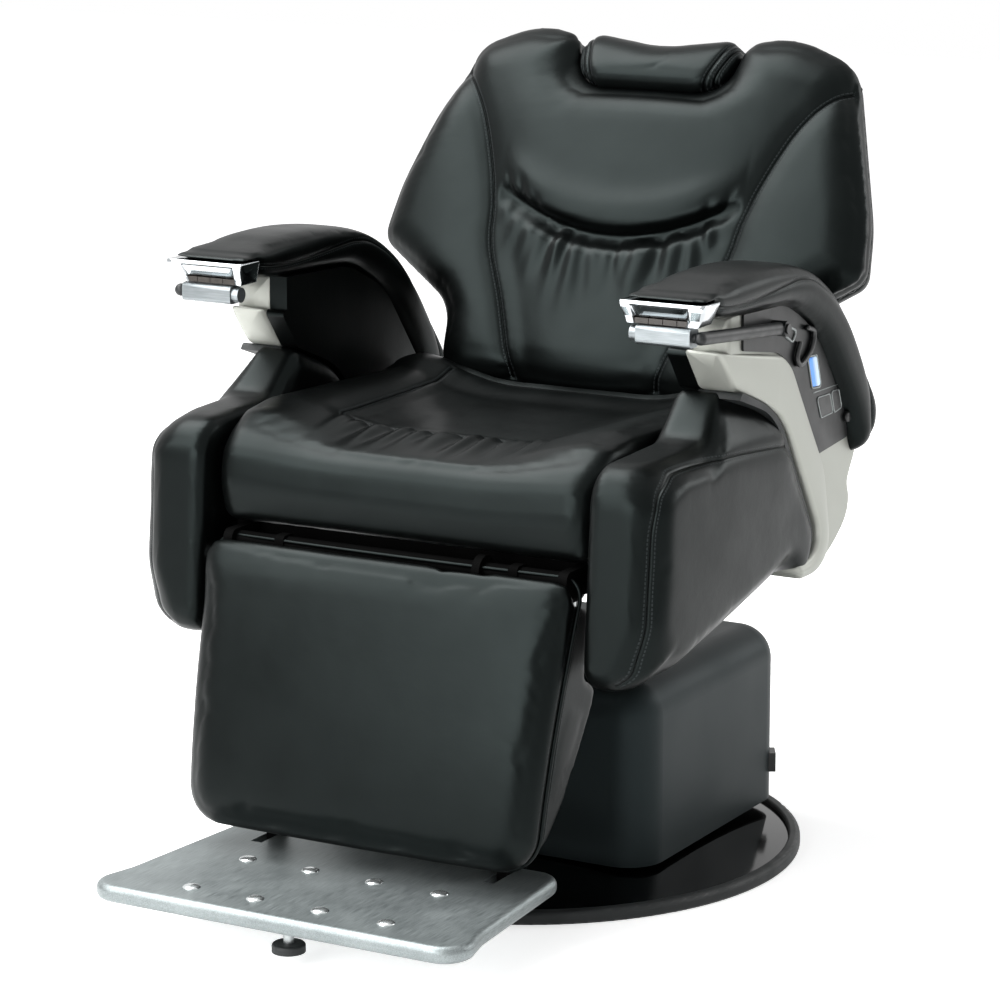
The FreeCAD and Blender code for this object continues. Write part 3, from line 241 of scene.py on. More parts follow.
# Calf pad: foam on a shaped board under black upholstery leather, wider at the top. A piped seam
# runs round the front, and a plain border closes the sides.
def arcs(corners, steps):
    """Outline of a polygon of (u, v, radius) corners. Each corner becomes that many points on an arc
    that turns from one side to the other about its centre."""
    spot, radius = np.array(corners, float)[:, :2], np.array(corners, float)[:, 2:]
    back, ahead = np.roll(spot, 1, 0) - spot, np.roll(spot, -1, 0) - spot
    back /= np.linalg.norm(back, axis=1, keepdims=True)
    ahead /= np.linalg.norm(ahead, axis=1, keepdims=True)
    half = np.arccos(np.clip((back * ahead).sum(1, keepdims=True), -1, 1)) / 2
    mid = back + ahead
    centre = spot + mid / np.linalg.norm(mid, axis=1, keepdims=True) * radius / np.sin(half)
    first = spot + back * radius / np.tan(half) - centre
    last = spot + ahead * radius / np.tan(half) - centre
    turn = (np.pi - 2 * half)[:, None]
    share = np.linspace(0, 1, steps)[None, :, None]
    arc = np.sin((1 - share) * turn) * first[:, None] + np.sin(share * turn) * last[:, None]
    return (centre[:, None] + arc / np.sin(turn)).reshape(-1, 2)


def rounded(corners, count):
    """The same outline with its points spaced evenly by length."""
    line = arcs(corners, 24)
    return spaced(np.concatenate([line, line[:1]]), count + 1)[:-1]


def spaced(line, count):
    """Points at equal lengths along a line."""
    run = np.concatenate([[0], np.cumsum(np.linalg.norm(np.diff(line, axis=0), axis=1))])
    want = np.linspace(0, run[-1], count)
    return np.stack([np.interp(want, run, line[:, i]) for i in range(line.shape[1])], 1)


def through(points, count):
    """Smooth line through points: on each span a cubic whose end slopes are half the chord between
    the neighbours, with count points spread evenly over the spans."""
    p = np.array(points, float)
    p = np.concatenate([2 * p[:1] - p[1:2], p, 2 * p[-1:] - p[-2:-1]])
    at = np.linspace(0, len(p) - 3 - 1e-9, count)
    i = at.astype(int)
    t = (at - i)[:, None]
    a, b, c, d = p[i], p[i + 1], p[i + 2], p[i + 3]
    square, cube = a - 2.5 * b + 2 * c - d / 2, 1.5 * (b - c) + (d - a) / 2
    return b + t * (c - a) / 2 + t ** 2 * square + t ** 3 * cube


def beside(points, line):
    """For plane points, the distance to a line of points, positive on its left, and the length along
    the line to the nearest place on it."""
    start, step = line[:-1], np.diff(line, axis=0)
    size = np.linalg.norm(step, axis=1)
    done = np.concatenate([[0], np.cumsum(size)])
    gap, run = np.full(len(points), 1e6), np.zeros(len(points))
    for i in range(len(step)):
        away = points - start[i]
        share = np.clip(away @ step[i] / size[i] ** 2, 0, 1)
        off = np.linalg.norm(away - share[:, None] * step[i], axis=1)
        left = np.where(step[i, 0] * away[:, 1] - step[i, 1] * away[:, 0] < 0, -1.0, 1.0)
        near = off < np.abs(gap)
        gap, run = np.where(near, off * left, gap), np.where(near, done[i] + share * size[i], run)
    return gap, run


def ease(value, low, high):
    """Smooth step from 0 at low to 1 at high."""
    t = np.clip((value - low) / (high - low), 0, 1)
    return t * t * (3 - 2 * t)


def bells(gap, *shapes):
    """Sum of bell curves, one for each (height, width), at a distance from their middle."""
    return sum(high * np.exp(-(gap / wide) ** 2) for high, wide in shapes)


def surface(made):
    """Points of an object's mesh in millimetres, and the outward direction at each."""
    mesh = made.data
    spot, up = np.empty((2, len(mesh.vertices) * 3), np.float32)
    mesh.vertices.foreach_get("co", spot)
    mesh.vertex_normals.foreach_get("vector", up)
    return spot.reshape(-1, 3).astype(float) * 1000, up.reshape(-1, 3).astype(float)


def move_to(made, points):
    """Puts an object's mesh at new points."""
    made.data.vertices.foreach_set("co", (points * 0.001).astype(np.float32).ravel())
    made.data.update()


def settle(made):
    """Turns what an object's modifiers show into its own mesh."""
    shown = made.evaluated_get(bpy.context.evaluated_depsgraph_get())
    mesh = bpy.data.meshes.new_from_object(shown)
    made.modifiers.clear()
    made.data = mesh
    mesh.name = made.name


def stuffed(name, points, faces, material, voxel, swell):
    """Padded cover: the shell is remeshed in even squares and blown up as cloth by pressure from
    inside for 20 frames. Each point keeps the outward share of its move, held softly below swell,
    because the foam stops the leather from going in, and one subdivision smooths the whole."""
    frames = 20
    made = piece(name, points, faces, material)
    net = made.modifiers.new("net", "REMESH")
    net.mode, net.voxel_size, net.use_smooth_shade = "VOXEL", voxel * 0.001, True
    settle(made)
    rest, out = surface(made)
    cloth = made.modifiers.new("cloth", "CLOTH")
    cloth.settings.use_pressure = True
    cloth.settings.uniform_pressure_force = 4
    cloth.settings.effector_weights.gravity = 0
    cloth.point_cache.frame_end = frames
    for step in range(1, frames + 1):
        bpy.context.scene.frame_set(step)
    settle(made)
    bpy.context.scene.frame_set(1)
    push = np.maximum(((surface(made)[0] - rest) * out).sum(1), 0)
    move_to(made, rest + out * (push * swell / (swell + push))[:, None])
    smooth = made.modifiers.new("smooth", "SUBSURF")
    smooth.levels = smooth.render_levels = 1
    settle(made)
    return made


def slab(outline, heart, front, back, rings, place):
    """Closed pad over an outline that can all be seen from its heart. Rings go out from the heart to
    the outline on the front and come back on the rear, at the depth that front and back give for the
    distance q in from the outline and the plane point (u, v); place turns u, v, depth into space."""
    out = np.sin(np.linspace(0, np.pi / 2, rings + 1))[1:, None, None]
    flat = (np.array(heart) + out * (outline - heart)).reshape(-1, 2)
    q = np.abs(beside(flat, np.concatenate([outline, outline[:1]]))[0])
    u, v = flat.T
    near = place(u, v, front(q, u, v)).reshape(rings, -1, 3)
    far = place(u, v, back(q, u, v)).reshape(rings, -1, 3)
    return skin(np.concatenate([near, far[::-1]]))


def roll(q, width, depth=None):
    """Depth of a rolled edge, a quarter of an ellipse: the full depth at the edge, nothing once the
    distance in from the edge reaches the width. With no depth given it is a quarter circle."""
    share = np.clip(1 - q / width, 0, 1)
    return (width if depth is None else depth) * (1 - np.sqrt(1 - share ** 2))


def tube(path, across, radius, ring=False, sides=10):
    """Round cord along a path: at each point a circle square to the path, set up from a direction
    that the path never follows."""
    along = np.roll(path, -1, 0) - np.roll(path, 1, 0) if ring else np.gradient(path, axis=0)
    side = np.cross(along, across)
    side /= np.linalg.norm(side, axis=1, keepdims=True)
    up = np.cross(side, along)
    up /= np.linalg.norm(up, axis=1, keepdims=True)
    turn = np.linspace(0, 2 * np.pi, sides, endpoint=False)[None, :, None]
    circle = np.cos(turn) * side[:, None] + np.sin(turn) * up[:, None]
    return skin(path[:, None] + radius * circle, ring)


def sew(made, marks):
    """Writes, for the leather's stitches and for the shade painted into its seam creases, the distance
    to the nearest seam with and without its side, and the length along it, as attributes in metres.
    marks is a list of (side, run) in millimetres."""
    side, run = (np.stack(both) for both in zip(*marks))
    first = np.abs(side).argmin(0)[None]
    side, run = np.take_along_axis(side, first, 0)[0], np.take_along_axis(run, first, 0)[0]
    for name, value in (("seam_side", side), ("seam_near", np.abs(side)), ("seam_run", run)):
        mark = made.data.attributes.new(name, "FLOAT", "POINT")
        mark.data.foreach_set("value", (value / 1000).astype(np.float32))


def hide(name, sewn):
    """Chrome-tanned, pigment-finished upholstery leather: smooth, black with a cool bloom, a broad
    satin sheen, pebble grain drawn at 2.4 mm and pores at 0.9 mm (finer in life) so that it shows.
    Sewn pieces also carry a needle crease, sunk and painted darker as the shade in its groove, and a
    topstitch 3.4 mm each side of every seam."""
    made, tree, shader, place = finish(name, Specular_IOR_Level=0.122, Specular_Tint=linear("#e5fcfa"))
    pebble = add(tree, "TexVoronoi", vector=place, scale=1000 / 2.4)
    pore = add(tree, "TexNoise", vector=place, scale=1000 / 0.9, detail=2.0)
    cloud = add(tree, "TexNoise", vector=place, scale=1000 / 60, detail=3.0)
    tone = add(tree, "Mix", out=2, data_type="RGBA", in0=cloud, in6=linear("#020202"),
               in7=linear("#040505"))
    relief = [(pebble, 0.00003), (pore, 0.00003), (cloud, 0.0006)]
    if sewn:
        side, near, run = (add(tree, "Attribute", out="Fac", attribute_name="seam_" + kind)
                           for kind in ("side", "near", "run"))
        close = add(tree, "MapRange", value=near, in1=0.006, in2=0.009, in3=1.0, in4=0.0)
        away = add(tree, "Math", operation="ABSOLUTE", in0=side)
        crease = add(tree, "MapRange", value=away, in1=0.0002, in2=0.0015, in3=1.0, in4=0.0)
        crease = add(tree, "Math", operation="MULTIPLY", in0=crease, in1=close)
        row = add(tree, "Math", operation="COMPARE", in0=away, in1=0.0034, in2=0.0006)
        beat = add(tree, "Math", operation="PINGPONG", in0=run, in1=0.0024)
        thread = add(tree, "MapRange", value=beat, in1=0.0005, in2=0.0011, in3=0.0, in4=1.0)
        for mask in (row, close):
            thread = add(tree, "Math", operation="MULTIPLY", in0=thread, in1=mask)
        # The crease mark is painted shade: the groove is coloured near black as if shadowed, while the
        # thread keeps its own grey.
        for mark, colour in ((crease, "#020202"), (thread, "#26292a")):
            tone = add(tree, "Mix", out=2, data_type="RGBA", in0=mark, in6=tone, in7=linear(colour))
        relief += [(crease, -0.0012), (thread, 0.0004)]
    height = 0.0
    for layer, depth in relief:
        height = add(tree, "Math", operation="MULTIPLY_ADD", in0=layer, in1=depth, in2=height)
    gloss = add(tree, "MapRange", value=cloud, in1=0.3, in2=0.7, in3=0.31, in4=0.39)
    bump = add(tree, "Bump", height=height, distance=1.0, strength=1.0)
    link(tree, shader, Base_Color=tone, Roughness=gloss, Normal=bump)
    return made


leather = hide("black_upholstery_leather", True)
leather_plain = hide("black_leather_plain", False)

CALF_TOP, CALF_FOOT, CALF_TOP_HALF, CALF_FOOT_HALF = 420, 95, 244, 229
CALF_FRONT_FOOT, CALF_FRONT_TOP, CALF_MID = -437, -352, 258
CALF_LEAN = (CALF_FRONT_TOP - CALF_FRONT_FOOT) / (CALF_TOP - CALF_FOOT)
CALF_TUCK, CALF_LIFT = 0.988, 3          # the shell is drawn in a little, for the swell of the leather
PIPE_DEPTH, PIPE_RADIUS = 32, 2.4


def calf_front(z):
    """The front of the pad leans back as it rises."""
    return CALF_FRONT_FOOT + (z - CALF_FOOT) * CALF_LEAN


def calf_crown(x, z):
    """Depth of the front face behind its plane: a shallow crown that falls away to all four sides."""
    return 2 + 6 * (x / 240) ** 2 + np.where(z < CALF_MID, 12, 7) * ((z - CALF_MID) / 160) ** 2


def calf_near(q, x, z):
    """Front face: the crown, with a rolled edge."""
    return calf_crown(x, z) + roll(q, 40, 24 - 13 * ease(z, 340, 405))


def calf_far(q, x, z):
    """Rear: thin behind the knee, a step, a deep lower block that tapers to the foot, and a pocket
    behind the right of the top that leaves room for the crank."""
    rear = np.interp(z, [95, 166, 266, 284, 300, 380, 393, 420],
                     [-390, -322, -262, -257, -284, -284, -319, -319])
    pocket = ease(x, 60, 74) * ease(-x, -140, -126) * ease(z, 286, 302)
    deep = rear + pocket * np.minimum(-326 - rear, 0) - calf_front(z) - 4 - roll(q, 5)
    return np.maximum(deep, calf_near(q, x, z) + 7)


calf_outline = rounded([(CALF_FOOT_HALF, CALF_FOOT, 46), (CALF_TOP_HALF, CALF_TOP, 24),
                        (-CALF_TOP_HALF, CALF_TOP, 24), (-CALF_FOOT_HALF, CALF_FOOT, 46)], 300)
calf_shell = slab(calf_outline * CALF_TUCK + [0, CALF_LIFT], (0, 270), calf_near, calf_far, 60,
                  lambda x, z, d: np.stack([x, calf_front(z) + d, z], 1))
calf = stuffed("calf_pad_leather", *calf_shell, leather, 5.5, 4)
spot, up = surface(calf)
ring_gap, ring_run = beside(spot[:, [0, 2]], np.concatenate([calf_outline, calf_outline[:1]]))
seam = spot[:, 1] - calf_front(spot[:, 2]) - calf_crown(spot[:, 0], spot[:, 2]) - PIPE_DEPTH
border = np.abs(ring_gap) < 14
move_to(calf, spot - up * np.where(border, bells(seam, (2.2, 4)), 0)[:, None])
sew(calf, [(np.where(border, np.abs(seam) - 6, 1e3), ring_run)])
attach(calf, "legrest")
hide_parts("calf_pad")
x, z = calf_outline.T
pipe_path = np.stack([x * CALF_TUCK, calf_front(z) + calf_crown(x, z) + PIPE_DEPTH,
                      z * CALF_TUCK + CALF_LIFT], 1)
calf_piping = piece("calf_piping", *tube(pipe_path, (0, 1, 0), PIPE_RADIUS, ring=True), leather_plain)
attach(calf_piping, "legrest")


# Seat cushion: moulded foam on the board. A deep roll fills the front, bolsters rise at the sides,
# and the leather of the roll is gathered into the front seam of the sunk middle panel.
def gathered(across, down, folds, valley, start, fade):
    """Height of folds that run down from a seam. Each has a place, length, width, depth and slant, and
    a valley beside its ridge, of a share of its depth and at a distance in widths. They start over a
    span of down, and die away from fade to the end of their length."""
    total = np.zeros(len(across))
    for at, long, wide, deep, skew in folds:
        shift = (across - at - skew * down) / wide
        wave = bells(shift, (deep, 1)) - bells(shift - valley[1], (deep * valley[0], 1))
        total += wave * ease(down, *start) * (1 - ease(down, fade, long))
    return total


SEAT_HALF, SEAT_END, SEAT_FRONT = 247, 28, -312
SEAT_MID_Y, SEAT_MID_Z = -75, 482
PLEATS, PLEAT_LINE = 13, -183
seat_ring = rounded([(158, 440, 12), (-299, 433, 10), (-310, 475, 40), (-300, 521, 32), (-196, 535, 70),
                     (158, 522, 16)], 200)
across = SEAT_HALF * np.sin(np.linspace(-np.pi / 2, np.pi / 2, 121))[1:-1]
shut = np.clip((np.abs(across) - (SEAT_HALF - SEAT_END)) / SEAT_END, 0, 1)
inset = SEAT_END * (1 - np.sqrt(1 - shut ** 2))[:, None]
y, z = seat_ring.T
side_rise = 27 * ease(np.abs(across) / SEAT_HALF, 0.35, 0.95)[:, None]
side_rise = side_rise * np.clip((y - SEAT_FRONT) / 62, 0.3, 1) * ease(z, 445, 500)
rear_rise = 12 * ease(y, 70, 135) * ease(z, 470, 515)
seat_rows = np.stack([np.repeat(across[:, None], len(y), 1),
                      SEAT_MID_Y + (y - SEAT_MID_Y) * (1 - inset / 225),
                      SEAT_MID_Z + (z - SEAT_MID_Z) * (1 - inset / 150) + side_rise + rear_rise], -1)
seat = stuffed("seat_cushion_leather", *skin(seat_rows), leather, 5.5, 6)

panel_edge = through([(-172, 120), (-163, 0), (-154, -130), (-150, -176), (-120, -182), (0, -184),
                      (120, -182), (150, -176), (154, -130), (163, 0), (172, 120)], 90)
pleat_seed = np.random.default_rng(4)
pleat_at = np.linspace(-138, 128, PLEATS) + pleat_seed.uniform(-5, 5, PLEATS)
pleat_long = pleat_seed.uniform(70, 110, PLEATS)
pleat_wide = pleat_seed.uniform(6.5, 9.5, PLEATS)
pleat_deep = pleat_seed.uniform(3.4, 5.4, PLEATS)
pleat_skew = -0.1 + pleat_seed.uniform(-0.1, 0.1, PLEATS)
spot, up = surface(seat)
plan = spot[:, :2]
gap, run = beside(plan, panel_edge)
top = ease(up[:, 2], 0.2, 0.6) * ease(spot[:, 2], 480, 500)
ahead = PLEAT_LINE - plan[:, 1]
pleats = zip(pleat_at, pleat_long, pleat_wide, pleat_deep, pleat_skew)
fold = gathered(plan[:, 0], ahead, pleats, (0.6, 1.7), (-1, 4), 6)
sunk = ease(gap, 0, 26) * 5
sink = -bells(gap, (2.2, 3.5), (4.0, 16)) - sunk * (plan[:, 1] < 130)
move_to(seat, spot + np.stack([np.zeros_like(fold), np.zeros_like(fold), top * (sink + fold)], 1))
sew(seat, [(np.where(top > 0.5, gap, 1e3), run)])
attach(seat, "seat_unit")
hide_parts("seat_cushion")


# Side panels: foam-faced boxes that hang outside the seat and rise in a neck to the arm frames.
# The outer leather is a separate panel, its seam topstitched up the front and back along the deck.
def other_hand(made, name):
    """Mirror copy of a piece for the -X side, with its faces turned back outwards."""
    twin = made.copy()
    twin.data = made.data.copy()
    twin.name = twin.data.name = name
    move_to(twin, surface(made)[0] * [-1, 1, 1])
    twin.data.flip_normals()
    bpy.context.scene.collection.objects.link(twin)
    return twin


PANEL_FRONT, PANEL_FOOT, PANEL_IN, PANEL_OUT = -339, 289, 251, 339
FOOT_RISE = 74 / 359
frame_edge = np.array([(-104, 603), (-8, 566), (95, 402), (80, 364)], float)
panel_outline = rounded([(PANEL_FRONT, PANEL_FOOT, 30), (-320, 548, 48), (-163, 552, 40), (-112, 601, 8),
                         (-104, 601, 6), (-11, 564, 120), (90, 402, 26), (77, 366, 14),
                         (20, 363, 4)], 360)


def panel_radius(y, z):
    """Edge radius: large at the foot, small where the panel butts against the frame's edging."""
    by_frame = np.abs(beside(np.stack([y, z], 1), frame_edge)[0])
    foot = PANEL_FOOT + FOOT_RISE * (y - PANEL_FRONT)
    deck = ease(z, 500, 540) * (1 - ease(y, -190, -150))
    front = 1 - ease(y, -300, -240)
    low = 1 - ease(z - foot, 20, 90)
    return 5 + ease(by_frame, 8, 70) * (13 + 20 * front + 24 * low + 14 * deck)


def panel_near(q, y, z):
    """Outer face: bowed out a little in the middle, its neck sloping in, its edges rolled."""
    neck = 34 * ease(z, 525, 615)
    bow_y = np.cos(np.clip((y + 150) / 190, -1, 1) * np.pi / 2)
    bow_z = np.cos(np.clip((z - 430) / 130, -1, 1) * np.pi / 2)
    return PANEL_OUT - neck + 4 * bow_y * bow_z - roll(q, panel_radius(y, z))


panel_shell = slab(panel_outline, (-120, 450), panel_near, lambda q, y, z: PANEL_IN + roll(q, 16), 60,
                   lambda y, z, x: np.stack([x, y, z], 1))
panel_left = stuffed("side_panel_left_leather", *panel_shell, leather, 5.5, 4)
panel_seam = through([(-326, 285), (-323, 350), (-316, 440), (-311, 490), (-300, 519), (-274, 535),
                      (-249, 541), (-190, 540), (-123, 536), (-50, 529), (40, 519)], 120)
spot, up = surface(panel_left)
gap, run = beside(spot[:, 1:], panel_seam)
outer = ease(up[:, 0], 0.1, 0.4)
push = -outer * bells(gap, (1.6, 3.5), (2.0, 12))
move_to(panel_left, spot + up * push[:, None])
sew(panel_left, [(np.where(outer > 0.3, gap, 1e3), run)])
panel_right = other_hand(panel_left, "side_panel_right_leather")
for made, side in ((panel_left, "left"), (panel_right, "right")):
    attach(made, "seat_unit")
    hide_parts("side_panel_" + side)


# Arm frames: pressure castings in aluminium, sprayed in a warm satin silver, that carry the arms. A
# raised band sweeps from the tip down to the foot, with a lower field behind it up to the pad. A dark
# rubber edging lies between each frame and its leather panel, and a padded board lines the inside.
def strip(inner, outer, low, high, radius, crown):
    """Bar between two edge lines in the y, z plane and from low to high in x: at each place a rounded
    rectangle as wide as the lines are apart, with a crowned outer face, drawn in round both ends."""
    wide = np.linalg.norm(outer - inner, axis=1)[:, None]
    run = np.concatenate([[0], np.cumsum(np.linalg.norm(np.diff((inner + outer) / 2, axis=0), axis=1))])
    pull = roll(np.minimum(run, run[-1] - run), radius)[:, None]
    r = radius - pull / 2
    angle = np.radians(np.linspace([180, 90, 0, -90], [90, 0, -90, -180], 7).T.ravel())
    far = np.repeat([False, True, True, False], 7)
    upper = np.repeat([True, True, False, False], 7)
    u = np.where(far, wide - pull - r, pull + r) + r * np.cos(angle)
    x = np.where(upper, high - pull - r, low + pull + r) + r * np.sin(angle)
    share = np.linspace(0, 1, 13)[1:-1]
    u_face = u[:, 6:7] + share * (u[:, 7:8] - u[:, 6:7])
    x_face = x[:, 6:7] + crown * (1 - (2 * share - 1) ** 2)
    u, x = (np.concatenate([a[:, :7], b, a[:, 7:]], 1) for a, b in ((u, u_face), (x, x_face)))
    line = inner[:, None] + (u / wide)[..., None] * (outer - inner)[:, None]
    return skin(np.concatenate([x[..., None], line], -1))


# Silver paint: pale, warm and satin, with the fine sparkle of its flakes
silver_paint = coated("satin_silver_paint", "#a6a8a1", "#b0b2ab", 40, (0.46, 0.54), 0.9, 0.015,
                      Metallic=0.5)
FRAME_IN, BAND_OUT, FIELD_OUT, TIP_TAPER = 280, 338, 328, 15
ROWS = 150
band_inner = spaced(through([(-106, 604), (-75, 592), (-45, 580.4), (-27, 571), (-10, 562), (6, 549),
                             (20, 534), (46, 496), (72, 457), (90, 430), (99, 416), (104.5, 402),
                             (103, 388), (94, 378), (76, 372), (50, 371)], 400), ROWS)
band_outer = spaced(through([(-147, 655), (-80, 643.2), (-14.7, 631.9), (-1, 628.5), (10.9, 622.1),
                             (22, 613.5), (30.7, 603.2), (69, 548.5), (107.5, 493.8), (118.1, 475.1),
                             (124.8, 454.8), (132, 422.7), (138, 392), (132, 371), (116, 358), (94, 352),
                             (56, 352)], 400), ROWS)
band_middle = (band_inner + band_outer) / 2
band_high = BAND_OUT - TIP_TAPER * np.clip((-15 - band_middle[:, :1]) / 135, 0, 1) ** 1.3
field_outer = spaced(through([(-126, 692), (-55, 692), (14, 687), (62, 667), (102, 640), (147, 591),
                              (180, 552), (208, 528), (230, 504), (229, 480), (213, 455), (208, 441),
                              (213, 421), (203, 398), (168, 373), (124, 353)], 400), ROWS)
arm_shell = together(strip(band_inner, band_outer, FRAME_IN, band_high, 6, 1.5),
                     strip(band_middle, field_outer, FRAME_IN, FIELD_OUT, 4, 0))
arm_left = piece("arm_frame_left_casting", *arm_shell, silver_paint)
arm_right = other_hand(arm_left, "arm_frame_right_casting")
for made, side in ((arm_left, "left"), (arm_right, "right")):
    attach(made, "seat_unit")
    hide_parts("arm_frame_" + side)
dress(rubber, "frame_trim_left", "frame_trim_right")
dress(leather_plain, "arm_inner_panel_left", "arm_inner_panel_right")


# Console: a dark moulded plate let into the outside of each arm. The left one has a lit display and
# two sockets in thin bezels, a divider, a knob, a sprung clip and a hook, snapped in from outside.
CONSOLE_FACE = 331.0
# Console ABS: near-black grey with a spark-eroded satin texture
console_abs = coated("dark_console_abs", "#0b0c0d", "#131516", 30, (0.3, 0.42), 1.0, 0.03,
                     Specular_IOR_Level=0.3)
# Socket plastic: black, a little glossier than the plate
socket_plastic = coated("black_socket_plastic", "#08090a", "#121415", 12, (0.3, 0.45), 1.0, 0.03)
# Bezel paint: dull silver on plastic, satin
bezel_paint = coated("silver_bezel_paint", "#7c8181", "#8e9392", 10, (0.3, 0.4), 0.8, 0.01, Metallic=0.6)
# Display glass: lit from behind, a blue field that pales towards one corner
lit, tree, shader, place = finish("lit_display_glass", Roughness=0.12, Specular_IOR_Level=0.6,
                                  Emission_Strength=0.55)
slope = add(tree, "VectorMath", out="Value", operation="DOT_PRODUCT", in0=place, in1=(0, 1.0, 0.35))
band = add(tree, "MapRange", value=slope, in1=0.302, in2=0.309, in3=0.0, in4=1.0)
glow = add(tree, "Mix", out=2, data_type="RGBA", in0=band, in6=linear("#2f86e6"), in7=linear("#b4cbdf"))
link(tree, shader, Base_Color=glow, Emission_Color=glow)
dress(console_abs, "arm_console")
dress(socket_plastic, "lever_pivots")


def on_side(y, z, x):
    """From the plane of an arm's side and the distance out to space."""
    return np.stack([x + 0 * y, y, z], 1)


def plaque(corners, radius, high):
    """Thin plate on the console with rounded corners and a rolled rim."""
    outline = rounded([(*corner, radius) for corner in corners], 80)
    return slab(outline, outline.mean(0), lambda q, y, z: CONSOLE_FACE + high - roll(q, 0.8),
                lambda q, y, z: CONSOLE_FACE - 0.5 + 0 * q, 8, on_side)


def bezel(corners, radius, grow, thick):
    """Closed round bead about a plate, outside it by a share of its size."""
    middle = np.mean(corners, 0)
    grown = middle + (np.array(corners) - middle) * grow
    outline = rounded([(*corner, radius) for corner in grown], 90)
    return tube(on_side(*outline.T, CONSOLE_FACE + 0.6), (1, 0, 0), thick, ring=True, sides=8)


display_at = [(79, 613), (102, 612), (115, 575), (92, 577)]
socket_at = [[(107, 561), (141, 560), (151, 537), (119, 536)],
             [(147, 562), (167, 561), (176, 539), (156, 536)]]
knob_at = [CONSOLE_FACE, 189, 525]
clip_at = [(-2, 658), (9, 664), (45, 651), (34, 639)]
display = piece("console_display", *plaque(display_at, 3, 1.2), lit)
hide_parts("console_window")
knob = turned(np.array([(6.5, -0.5), (6.5, 4), (5.8, 5.2), (4, 5.7)]), 28)
sockets = together(*[plaque(at, 2.5, 1.0) for at in socket_at],
                   (knob[0][:, [2, 0, 1]] + knob_at, knob[1]))
console_sockets = piece("console_socket_faces", *sockets, socket_plastic)
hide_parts("console_sockets")
divider = on_side(*np.linspace((95, 569), (168, 568), 12).T, CONSOLE_FACE)
trim = together(bezel(display_at, 4, 1.1, 1.1), *[bezel(at, 3, 1.05, 0.9) for at in socket_at],
                bezel(clip_at, 4, 1.0, 1.6), tube(divider, (1, 0, 0), 0.7, sides=8))
console_bezels = piece("console_bezels", *trim, bezel_paint)
hook_path = through([(67, 652), (86, 645), (86, 632), (74, 619), (52, 610), (41, 620), (50, 637)], 60)
hook = tube(on_side(*hook_path.T, CONSOLE_FACE + 3.5), (1, 0, 0), 3.2, sides=14)
console_hook = piece("console_hook", *hook, socket_plastic)
for made in (display, console_sockets, console_bezels, console_hook):
    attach(made, "seat_unit")


# Arm caps: zinc die castings, polished and chromium plated, that close the front of each pad. The
# face slopes in under a thin lip, and the open slot at its foot holds four switches between cheeks.
# Chrome plate: a mirror with a faint haze
chrome = coated("bright_chrome_plate", "#b4b8bb", "#bfc3c5", 60, (0.06, 0.12), 4, 0.004, Metallic=1.0)
CAP_TOP, CAP_HIGH, CAP_INNER, CAP_WIDE, CAP_LEAN, CAP_CLOSE = 722, 26.5, 247, 106, 6, 18
cap_lip = [(-197, 695.5, 1), (-197, 721.5, 3), (-238, 722, 2.2), (-240.5, 718.6, 1.2)]
cap_slot = arcs(cap_lip + [(-237, 716.2, 0.8), (-228.5, 703.2, 0.9), (-211, 703, 0.6),
                           (-211, 695.5, 0.6)], 6)
cap_cheek = arcs(cap_lip + [(-239.4, 714.5, 0.8), (-234, 704, 0.9), (-232.6, 700.5, 0.6),
                            (-231.8, 695.5, 0.6)], 6)
share = np.concatenate([[0, 0.006, 0.014, 0.1], np.linspace(0.104, 0.136, 7), np.linspace(0.2, 0.75, 8),
                        np.linspace(0.804, 0.836, 7), [0.9, 0.986, 0.994, 1]])
cheek = (1 - ease(share, 0.1, 0.138) + ease(share, 0.802, 0.838))[:, None, None]
ring = cap_slot + cheek * (cap_cheek - cap_slot)
tuck = np.ones(len(share))
tuck[[0, 1, -2, -1]] = 0.9, 0.975, 0.975, 0.9
ring = ring.mean(1, keepdims=True) + tuck[:, None, None] * (ring - ring.mean(1, keepdims=True))
drop = (CAP_TOP - ring[..., 1:]) / CAP_HIGH
cap_x = CAP_INNER + CAP_LEAN * drop + share[:, None, None] * (CAP_WIDE - CAP_CLOSE * drop)
cap_rows = np.concatenate([cap_x, ring], -1)
cap_left = piece("arm_cap_left_plated", *skin(cap_rows), chrome)
cap_right = other_hand(cap_left, "arm_cap_right_plated")
for made, side in ((cap_left, "left"), (cap_right, "right")):
    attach(made, "seat_unit")
    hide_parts("arm_cap_" + side)
# Switch plastic: brown-black, moulded, semi-matt
switch_plastic = coated("brown_black_switch_plastic", "#191512", "#2b241d", 6, (0.3, 0.45), 1.0, 0.03)
dress(switch_plastic, *["switch_%s_%d" % (side, i) for side in ("left", "right") for i in (1, 2, 3, 4)])


# Levers: an anodised square bar of aluminium under each cap, for the hand to press. It is screwed to
# a black nylon-coated steel rod that runs along the arm and turns in a plastic pivot on the frame.
def soften(name, width):
    """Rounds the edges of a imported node: its loose triangles are welded, then edges that turn by more
    than 35 degrees get a bevel."""
    weld = solids[name].modifiers.new("weld", "WELD")
    weld.merge_threshold = 0.00002
    bevel = solids[name].modifiers.new("bevel", "BEVEL")
    bevel.width, bevel.segments, bevel.harden_normals = width * 0.001, 3, True
    bevel.limit_method, bevel.angle_limit = "ANGLE", np.radians(35)


# Anodised aluminium: matt silver, brushed along the bar
anodised = brushed("matt_anodised_aluminium", ("#6e7476", "#868b8d"), (0.03, 1.0, 1.0), (0.3, 0.4),
                   Metallic=0.9)
# Nylon coating: black, satin, slightly pebbled
rod_coat = coated("black_nylon_coating", "#0c0e0f", "#161a1b", 20, (0.35, 0.5), 1.0, 0.03,
                  Specular_IOR_Level=0.35)
dress(anodised, "lever_bar_left", "lever_bar_right")
dress(rod_coat, "lever_rod_left", "lever_rod_right")
for side in ("left", "right"):
    soften("lever_bar_" + side, 2)


